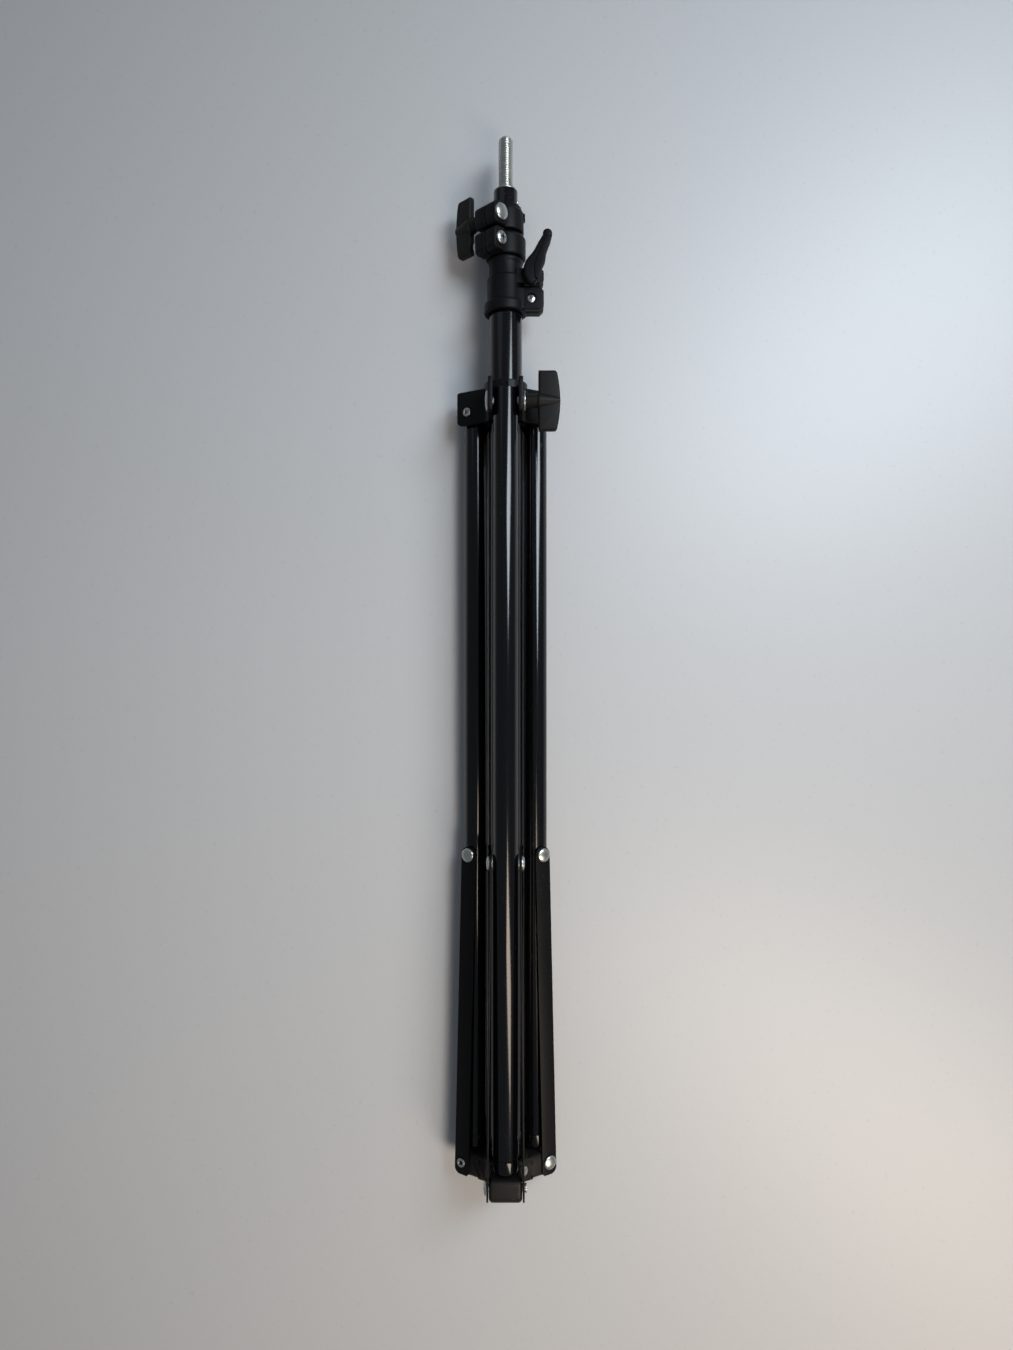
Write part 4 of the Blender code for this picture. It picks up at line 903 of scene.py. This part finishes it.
# ---------------------------------------------------------------- collars and lever
class STAND_OT_upper_collar(StandOperator, bpy.types.Operator):
    """Build the two-part clamp collar of the upper section with its bolts and wing knob"""
    bl_idname = "stand.upper_collar"
    bl_label = "Upper collar"

    def execute(self, context):
        half = math.sqrt(0.5)
        facing, outwards = np.array([half, 0, half]), np.array([-half, 0, half])
        low, high = span("upper_collar", 1)
        split = low + 15.0 * MM
        upper = split + 2.0 * MM
        top = high - 3.0 * MM
        along = Axes(AXIS, facing, outwards, (0, 1, 0))
        bore_low = tube_radius("middle_mast_tube") + GAP
        bore_high = tube_radius("top_mast_tube") + GAP
        lower_r, upper_r = 13.4 * MM, 12.1 * MM
        gap_low, gap_high = (math.degrees(math.asin(SLIT / r)) for r in (lower_r, upper_r))
        lower_ring = softened_ring([(bore_low, low), (lower_r - 0.5 * MM, low), (lower_r, low + 1.0 * MM),
                                    (lower_r, split - 2.0 * MM), (lower_r - 1.6 * MM, split),
                                    (bore_low, split)], 0.6 * MM)
        upper_ring = softened_ring([(bore_high, upper), (upper_r, upper), (upper_r, top - 1.2 * MM),
                                    (upper_r - 0.9 * MM, top), (bore_high + 2.2 * MM, high - 0.5 * MM),
                                    (bore_high + 1.6 * MM, high), (bore_high, high)], 0.5 * MM)
        inner, outer = bore_low + 0.2 * MM, upper_r - 0.4 * MM
        web = softened_ring([(inner, split - 1 * MM), (outer, split - 1 * MM), (outer, upper + 1 * MM),
                             (inner, upper + 1 * MM)], 0.2 * MM)
        shapes = [lathe(lower_ring, along, 96, True, 90 + gap_low, 360 - 2 * gap_low),
                  lathe(upper_ring, along, 96, True, 90 + gap_high, 360 - 2 * gap_high),
                  lathe(web, along, 48, True, 205, 130)]
        bolt_out = (middle("clamp_screw") - AXIS) @ outwards
        out, corner, ear = bolt_out + 5.5 * MM, 2.0 * MM, 9.5 * MM
        bolt_r, hole = 2.4 * MM, 2.6 * MM
        across = Axes(AXIS, outwards, (0, 1, 0), facing)
        for a, b, root in ((low + 0.15 * MM, split - 0.15 * MM, 10.2 * MM),
                           (upper + 0.15 * MM, top - 0.15 * MM, 8.6 * MM)):
            outline = [(root, a), (out - corner, a), (out, a + corner), (out, b - corner),
                       (out - corner, b), (root, b)]
            for near, far in ((SLIT, ear), (-ear, -SLIT)):
                shapes.append(drilled(softened_ring(outline, 0.8 * MM), (bolt_out, (a + b) / 2),
                                      [(hole, far), (hole, near)], near, far, 0.7 * MM, across))
        shape = softened_ring([(10 * MM, top - 6.5 * MM), (13.0 * MM, top - 5.4 * MM),
                               (13.0 * MM, top - 1.2 * MM), (10 * MM, top - 0.2 * MM)], 0.7 * MM)
        shapes.append(slab(shape, -2.4 * MM, 2.4 * MM, 0.6 * MM, row_axes(AXIS)))
        finished("upper_collar", shapes, "plastic")

        face = ear + GAP
        high_y = middle("carriage_bolt")[1]
        low_y = middle("clamp_screw")[1]
        for node, y, r, h, tail in (("carriage_bolt", high_y, 5.35 * MM, 2.4 * MM, 7 * MM),
                                    ("clamp_screw", low_y, 4.35 * MM, 2.2 * MM, 4 * MM)):
            deep = -face - tail
            head = list(cap_profile(r, face + 0.3 * h, 0.7 * h, 10)) + [
                (r, face), (bolt_r, face), (bolt_r, deep), (0, deep)]
            cross = (r * 0.55, 1.0 * MM, face + h) if node == "clamp_screw" else None
            screw(node, head, across.shifted(bolt_out, y), cross=cross)
        behind = Axes(AXIS, outwards, (0, 1, 0), -facing)
        hex_nut("clamp_nut", 4.2 * MM, 2.7 * MM, face, face + 3 * MM, behind.shifted(bolt_out, low_y))
        wing_knob("collar_knob", behind.shifted(bolt_out, high_y, face), bolt_r)
        return {"FINISHED"}


class STAND_OT_lever_collar(StandOperator, bpy.types.Operator):
    """Build the lever collar on the outer tube: moulding, screws, nuts and lever"""
    bl_idname = "stand.lever_collar"
    bl_label = "Lever collar"

    def execute(self, context):
        low, high = span("lever_collar", 1)
        bore = tube_radius("outer_mast_tube") + GAP
        throat = tube_radius("middle_mast_tube") + GAP
        seat = span("outer_mast_tube", 1)[1] + 1.5 * MM
        flange, sleeve, neck = 14.3 * MM, 12.3 * MM, 11.0 * MM
        step = low + 7.0 * MM
        shoulder = step + 16.5 * MM
        profile = softened_ring(
            [(bore, low), (flange - 0.6 * MM, low), (flange, low + 0.8 * MM), (flange, step - 1.4 * MM),
             (flange - 0.5 * MM, step), (sleeve, step + 0.3 * MM), (sleeve, shoulder - 0.5 * MM),
             (sleeve - 0.7 * MM, shoulder + 0.3 * MM),
             (neck, shoulder + 0.6 * MM), (neck, high - 3.2 * MM), (neck + 0.5 * MM, high - 2.6 * MM),
             (neck + 0.5 * MM, high - 0.6 * MM), (neck, high), (throat, high), (throat, seat),
             (bore, seat)], 0.35 * MM, 3)
        shapes = [lathe(profile, mast_axes(-END), 112, closed=True)]
        out = span("lever_collar", 0)[1] - AXIS[0]
        bolt_x = middle("lever_bolt")[0] - AXIS[0]
        lever_y, screw_y = middle("lever_bolt")[1], middle("lever_collar_screw")[1]
        flat = row_axes(AXIS)
        front, back, split = 10.2 * MM, -3.3 * MM, 5.0 * MM
        hole, recess, floor = 1.7 * MM, 3.35 * MM, front - 1.6 * MM
        root, corner, half = 11.6 * MM, 2.5 * MM, 5.25 * MM
        over, under = split + SLIT, split - SLIT
        stepped = [(recess, front), (recess, floor), (hole, floor), (hole, over)]
        plain = [(hole, front), (hole, over)]
        for a, b, y, steps in ((low + GAP, low + 15 * MM, screw_y, stepped),
                               (lever_y - half, lever_y + half, lever_y, plain)):
            outline = softened_ring([(root, a), (out - corner, a), (out, a + corner), (out, b - corner),
                                     (out - corner, b), (root, b)], 0.7 * MM)
            shapes.append(drilled(outline, (bolt_x, y), steps, over, front, 0.7 * MM, flat))
            shapes.append(drilled(outline, (bolt_x, y), [(hole, under), (hole, back)], back, under,
                                  0.7 * MM, flat))
        shapes += self.web(flat, low, lever_y, front, under)
        finished("lever_collar", shapes, "plastic")

        head, lever_head = floor + GAP, front + GAP + 4.6 * MM
        head_r, shank, nut_top = 2.75 * MM, 1.5 * MM, back - GAP
        foot = span("lever_collar_screw", 2)[0] - AXIS[2]
        cross = (1.7 * MM, 0.9 * MM, head + 1.2 * MM)
        for node, nut, y, at, star, finish in (
                ("lever_collar_screw", "lever_collar_nut", screw_y, head, cross, "zinc"),
                ("lever_bolt", "lever_bolt_nut", lever_y, lever_head, None, "steel")):
            here = row_axes(AXIS + [bolt_x, y, 0]).spun(30)
            profile = list(cap_profile(head_r, at + 0.3 * MM, 0.9 * MM, 8)) + [
                (head_r, at), (shank, at), (shank, foot), (0, foot)]
            screw(node, profile, here, cross=star, finish=finish)
            hex_nut(nut, 3.1 * MM, 1.8 * MM, nut_top - 2.6 * MM, nut_top, here)
        self.lever(row_axes(AXIS + [bolt_x, lever_y, front + GAP]))
        return {"FINISHED"}

    def web(self, flat, low, lever_y, front, under):
        """The moulding's flat bridges from the sleeve to its ears, back and front of the slot."""
        bridges = []
        for a, b in ((low + 0.6 * MM, low + 14.4 * MM), (lever_y - 4.8 * MM, lever_y + 4.8 * MM)):
            for near, far, bottom, top in ((10.0 * MM, 13.4 * MM, -2.8 * MM, under),
                                           (6.6 * MM, 13.0 * MM, 9.4 * MM, front - 0.05 * MM)):
                outline = softened_ring([(near, a), (far, a), (far, b), (near, b)], 0.4 * MM)
                bridges.append(slab(outline, bottom, top, 0.3 * MM, flat))
        return bridges

    def lever(self, axes):
        """A comma-shaped lever. Its outline swells from a narrow heel past the bolt to a broad shoulder
        and runs out to a round tip; its faces are rounded well over. A narrower rib stands on its face."""
        tip = arc((10.4, 25.2), 3.1, -20, 195, 14)
        outline = np.vstack([[(3.4, -6.0), (6.2, 1.2), (8.8, 6.6), (9.2, 10.0), (9.8, 13.4),
                              (12.4, 19.9)], tip,
                             [(4.3, 19.4), (1.0, 13.2), (-3.7, 7.9), (-5.6, 2.5), (-4.7, -2.8),
                              (-2.3, -7.6), (1.2, -7.8)]]) * MM
        shape = softened_ring(outline, 1.6 * MM, 3)
        rib = softened_ring(np.array([(4.8, -5.6), (6.4, 0.4), (8.2, 6.2), (8.7, 10.0), (9.4, 13.6),
                                      (12.2, 19.8), (12.4, 23.4), (9.2, 23.6), (7.2, 18.0), (5.0, 12.6),
                                      (2.8, 8.0), (1.6, 3.0), (2.0, -4.6)]) * MM, 1.2 * MM, 3)
        finished("clamp_lever", [slab(shape, 0.0, 5.9 * MM, 1.9 * MM, axes, 6),
                                 slab(rib, 4.6 * MM, 6.7 * MM, 0.6 * MM, axes, 6)],
                 "plastic")


class STAND_OT_stage(StandOperator, bpy.types.Operator):
    """Lay the table top, hang the lights and set the camera straight above"""
    bl_idname = "stand.stage"
    bl_label = "Table, lights and camera"

    def execute(self, context):
        scene = context.scene
        colour = tuple(scene.stand_finish.table_colour)
        reach, level = 3.0, -0.6 * MM
        x, y = np.meshgrid([-reach, reach], [-reach, reach], indexing="xy")
        points = np.stack([x, y, np.full_like(x, level)], -1).reshape(-1, 3)
        mesh = bpy.data.meshes.new("table_top")
        mesh.from_pydata(points.tolist(), [], grid_faces(2, 2, wrap=False))
        mesh.materials.append(table_top("pale_laminate", colour))
        table = bpy.data.objects.new("table_top", mesh)
        scene.collection.objects.link(table)

        camera = bpy.data.cameras.new("straight_down")
        camera.lens, camera.sensor_width, camera.sensor_fit = 24.0, 36.0, "AUTO"
        eye = bpy.data.objects.new("straight_down", camera)
        eye.location = (AXIS[0] + 0.6 * MM, -10.7 * MM, AXIS[2] + scene.stand_sizes.lens_height)
        scene.collection.objects.link(eye)
        scene.camera = eye

        self.lamp(scene, "cool_panel", (0.60, 0.52, 1.00), (0.16, 0.14, 0), (0.42, 0.75), 3.8,
                  (0.80, 0.90, 1.0), 95)
        self.lamp(scene, "warm_panel", (0.60, -0.74, 1.05), (0.16, -0.46, 0), (0.36, 0.9), 4.5,
                  (1.0, 0.85, 0.70), 110)
        self.lamp(scene, "window_side", (-1.0, 1.5, 1.3), (0, 0.2, 0), (1.2, 1.0), 1.2,
                  (0.70, 0.83, 1.0), 180)
        world = scene.world or bpy.data.worlds.new("room")
        scene.world = world
        world.use_nodes = True
        sky = world.node_tree.nodes["Background"].inputs
        sky["Color"].default_value = (0.78, 0.86, 0.98, 1)
        sky["Strength"].default_value = 0.19
        scene.view_settings.view_transform = "Standard"
        scene.view_settings.look = "None"
        return {"FINISHED"}

    def lamp(self, scene, name, place, target, size, power, colour, spread):
        light = bpy.data.lights.new(name, "AREA")
        light.shape, light.size, light.size_y = "RECTANGLE", *size
        light.energy, light.color, light.spread = power, colour, math.radians(spread)
        obj = bpy.data.objects.new(name, light)
        away = np.array(place) - np.array(target)
        obj.rotation_mode = "QUATERNION"
        obj.rotation_quaternion = Vector(away).to_track_quat("Z", "Y")
        obj.location = place
        scene.collection.objects.link(obj)


class STAND_PT_panel(bpy.types.Panel):
    """The stand's sizes, its colours and a button for each group of pieces"""
    bl_label = "Lighting stand"
    bl_idname = "STAND_PT_panel"
    bl_space_type = "VIEW_3D"
    bl_region_type = "UI"
    bl_category = "Stand"

    def draw(self, context):
        for group in (context.scene.stand_sizes, context.scene.stand_finish):
            box = self.layout.box()
            for name in group.__annotations__:
                box.prop(group, name)
        for operator in OPERATORS:
            self.layout.operator(operator.bl_idname)


OPERATORS = (STAND_OT_tubes, STAND_OT_cap, STAND_OT_stud, STAND_OT_brackets, STAND_OT_braces,
             STAND_OT_knobs, STAND_OT_upper_collar, STAND_OT_lever_collar, STAND_OT_stage)
CLASSES = (StandSizes, StandFinish, *OPERATORS, STAND_PT_panel)


def register():
    for cls in CLASSES:
        bpy.utils.register_class(cls)
    bpy.types.Scene.stand_sizes = PointerProperty(type=StandSizes)
    bpy.types.Scene.stand_finish = PointerProperty(type=StandFinish)


def unregister():
    del bpy.types.Scene.stand_finish
    del bpy.types.Scene.stand_sizes
    for cls in reversed(CLASSES):
        bpy.utils.unregister_class(cls)


def main():
    """Build everything in order."""
    register()
    for operator in OPERATORS:
        group, name = operator.bl_idname.split(".")
        getattr(getattr(bpy.ops, group), name)()


if __name__ == "__main__":
    main()
